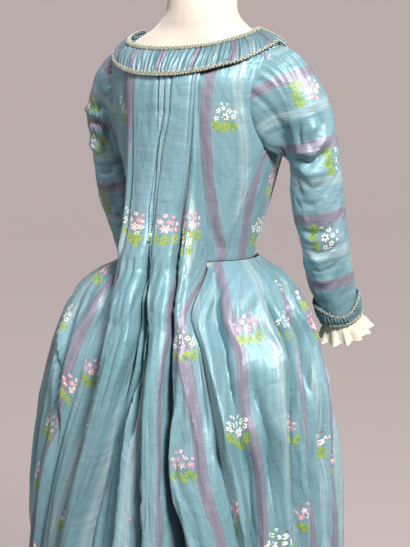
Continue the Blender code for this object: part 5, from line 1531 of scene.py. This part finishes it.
def makeMetal(name, colour, rough):
    metal = Finish(name, {"Metallic": 0.9})
    place = metal.objectPlace()
    grain = metal.grain(place, (60, 60, 900), 4.0)
    wear = metal.cloud(place, 26.0, 4.0)
    metal.feed("Base Color", metal.blend(colour, tuple(0.6 * c for c in colour), metal.step(wear, 0.45, 0.75)))
    metal.feed("Roughness", rough + (grain - 0.5) * 0.18 + (wear - 0.5) * 0.2)
    metal.feed("Normal", metal.bump(grain, 0.0001, 0.3))
    return metal.material


around = formLook["around"]
zs = np.concatenate([np.linspace(0.868, 1.29, 60), np.linspace(1.297, 1.455, 50)])
angle = 2 * math.pi * np.arange(around) / around
loops = [ringPoint(formRings, z, angle) for z in zs]
top = loops[-1]
for z, f in ((1.462, .985), (1.469, .94), (1.474, .86), (1.479, .74), (1.483, .60), (1.485, .40), (1.4855, .15)):
    ring = top.copy()
    ring[:, 0] *= f
    ring[:, 1] = -.026 + (ring[:, 1] + .026) * f
    ring[:, 2] = min(z, 1.485)
    loops.append(ring)
base = loops[0]
for z, f in ((0.858, .97), (0.853, .86), (0.852, .60), (0.852, .20)):
    ring = base.copy()
    ring[:, :2] *= f
    ring[:, 2] = z
    loops.insert(0, ring)
points = np.stack(loops)
centre = points.mean(axis=1, keepdims=True)
out = points - centre
out[..., 2] = 0
out /= np.maximum(np.linalg.norm(out, axis=2, keepdims=True), 1e-9)
seams = np.exp(-((points[..., 2] - 1.3725) / 0.0016) ** 2) + 0.8 * np.exp(-(points[..., 0] / 0.0016) ** 2) * (
    points[..., 2] < 1.46) * (points[..., 2] > 0.87)
points = points - out * (formLook["seam"] * seams)[..., None]
rows = len(points)
quads = [((r + 1) * around + c, (r + 1) * around + (c + 1) % around, r * around + (c + 1) % around, r * around + c)
         for r in range(rows - 1) for c in range(around)]
quads += [tuple(range(around)), tuple(reversed(range((rows - 1) * around, rows * around)))]
form = meshFrom("padded_form_cover", points.reshape(-1, 3), quads, None, makeCover(formLook), 60)
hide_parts("dress_form")
for node, finish in (("stand_pole", makeMetal("turned steel", (0.46, 0.45, 0.43), 0.32)),
                     ("stand_base", makeMetal("dark steel plate", (0.16, 0.16, 0.165), 0.45))):
    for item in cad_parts[node].material_slots:
        item.material = finish
print("form and stand finished")

# What each piece was cut to before it was sewn: node, width and length, flat area, how it is held, what it rests on and
# what is sewn to it. Braces stand for left and right.
bodiceBacks = ["bodice_back_left_silk", "bodice_back_right_silk"]
bodiceHalves = ["bodice_back_{}_silk", "bodice_front_{}_silk"]
cover = ["padded_form_cover"]
cuts = [
    ("sack_back", (0.99, 1.42), 0.90, "hung", bodiceBacks, ["sack"]),
    ("skirt_{}", (0.86, 1.10), 0.50, "gathered", bodiceHalves, ["skirt_{}"]),
    ("petticoat_front", (0.50, 1.05), 0.42, "gathered", cover, ["petticoat"]),
    ("bodice_back_{}", (0.17, 0.36), 0.048, "stretched", cover, ["bodice_back_{}"]),
    ("bodice_front_{}", (0.20, 0.37), 0.038, "stretched", cover, ["bodice_front_{}"]),
    ("stomacher", (0.21, 0.28), 0.042, "stretched", cover, ["stomacher"]),
    ("sleeve_{}", (0.34, 0.44), 0.11, "gathered", bodiceHalves, ["sleeve_{}"]),
    ("cuff_{}", (0.28, 0.045), None, "gathered", ["sleeve_{}_silk"], ["cuffBraid_{}"]),
    ("lace_{}", (0.28, 0.036), None, "gathered", ["cuff_{}_ruched"], []),
    ("neck_band", (1.30, 0.050), None, "gathered", bodiceBacks, ["braid_upper", "braid_lower"]),
]
for node, flat, area, held, rests, extras in cuts:
    for tag in ("left", "right") if "{}" in node else ("",):
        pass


# Studio: a pale floor that sweeps up far behind, soft light and the view from behind the wearer's right shoulder.
studio = {"floor": (0.16, 0.142, 0.140), "glow": (0.455, 0.388, 0.378), "floorReach": 8.0, "wallReach": 11.0,
          "wallHeight": 7.0, "around": 64, "world": 0.055, "key": 282.0, "fill": 42.0, "side": 26.0}
view = {"focal": 1290.0, "height": 547, "place": (-1.1758, 1.6793, 1.28), "turn": 215.0, "pitch": 8.676,
        "shiftPixels": -8.0}


def makeFloor(look):
    ground = Finish("studio floor", {"Roughness": 0.9, "Specular IOR Level": 0.1, "Emission Strength": 1.0,
                                     "Emission Color": (*look["glow"], 1)})
    place = ground.objectPlace()
    mottle = ground.cloud(place, 2.5, 2.0)
    ground.feed("Base Color", ground.blend(tuple(c * 0.97 for c in look["floor"]), look["floor"], mottle))
    return ground.material


profile = [(0.0, 0.0), (2.0, 0.0), (4.0, 0.0), (6.0, 0.0), (studio["floorReach"], 0.0)]
for k in range(1, 9):
    t = math.radians(90 * k / 8)
    bend = studio["wallReach"] - studio["floorReach"]
    profile.append((studio["floorReach"] + bend * math.sin(t), bend * (1 - math.cos(t))))
profile.append((studio["wallReach"], studio["wallHeight"]))
verts, n = [(0.0, 0.0, 0.0)], studio["around"]
for r, z in profile[1:]:
    verts += [(r * math.cos(2 * math.pi * k / n), r * math.sin(2 * math.pi * k / n), z) for k in range(n)]
faces = [(0, 1 + k, 1 + (k + 1) % n) for k in range(n)]
for r in range(len(profile) - 2):
    for k in range(n):
        j = (k + 1) % n
        faces.append((1 + r * n + k, 1 + (r + 1) * n + k, 1 + (r + 1) * n + j, 1 + r * n + j))
mesh = bpy.data.meshes.new("studio_sweep")
mesh.from_pydata(verts, [], faces)
mesh.shade_smooth()
mesh.materials.append(makeFloor(studio))
sweep = bpy.data.objects.new("studio_sweep", mesh)
scene.collection.objects.link(sweep)
sweep.visible_diffuse = False

world = bpy.data.worlds.new("studio air")
scene.world = world
world.use_nodes = True
world.node_tree.nodes["Background"].inputs["Color"].default_value = (1.0, 0.985, 0.98, 1)
world.node_tree.nodes["Background"].inputs["Strength"].default_value = studio["world"]

turn = math.radians(view["turn"])
back = np.array([math.sin(turn), -math.cos(turn), 0.0])
yaw = math.atan(view["shiftPixels"] / view["focal"])
ahead = np.array([-back[0] * math.cos(yaw) + back[1] * math.sin(yaw),
                  -back[0] * math.sin(yaw) - back[1] * math.cos(yaw), 0])
rightWay = np.cross(ahead, [0, 0, 1])
pitch = math.radians(view["pitch"])
forward = ahead * math.cos(pitch) + np.array([0, 0, -math.sin(pitch)])
upWay = np.cross(rightWay, forward)
lens = bpy.data.cameras.new("studio camera")
lens.sensor_width = 36.0
lens.sensor_fit = "AUTO"
lens.lens = 36.0 * view["focal"] / view["height"]
lens.clip_start, lens.clip_end = 0.05, 60.0
camera = bpy.data.objects.new("studio camera", lens)
scene.collection.objects.link(camera)
axes = [[rightWay[k], upWay[k], -forward[k], view["place"][k]] for k in range(3)]
camera.matrix_world = Matrix(axes + [[0, 0, 0, 1]])
scene.camera = camera


def softLight(name, place, aim, size, power, tint):
    lamp = bpy.data.lights.new(name, "AREA")
    lamp.shape = "RECTANGLE"
    lamp.size, lamp.size_y = size
    lamp.energy = power
    lamp.color = tint
    obj = bpy.data.objects.new(name, lamp)
    scene.collection.objects.link(obj)
    obj.location = place
    obj.rotation_mode = "QUATERNION"
    obj.rotation_quaternion = (Vector(aim) - Vector(place)).to_track_quat("-Z", "Y")


def aside(right, behind, up):
    # A place from its distances to the right of the view, toward the camera and up.
    p = rightWay * right + back * behind
    return (float(p[0]), float(p[1]), up)


aim = (0.0, 0.03, 1.0)
softLight("key", aside(1.1, 2.7, 3.3), aim, (0.8, 0.9), studio["key"], (1.0, 0.99, 0.975))
softLight("fill", aside(-3.0, 1.7, 2.3), aim, (1.2, 1.2), studio["fill"], (0.90, 0.96, 1.0))
softLight("side", aside(3.2, -0.5, 1.5), aim, (1.2, 1.6), studio["side"], (1.0, 0.98, 0.96))
scene.view_settings.view_transform = "Standard"
print("studio ready")
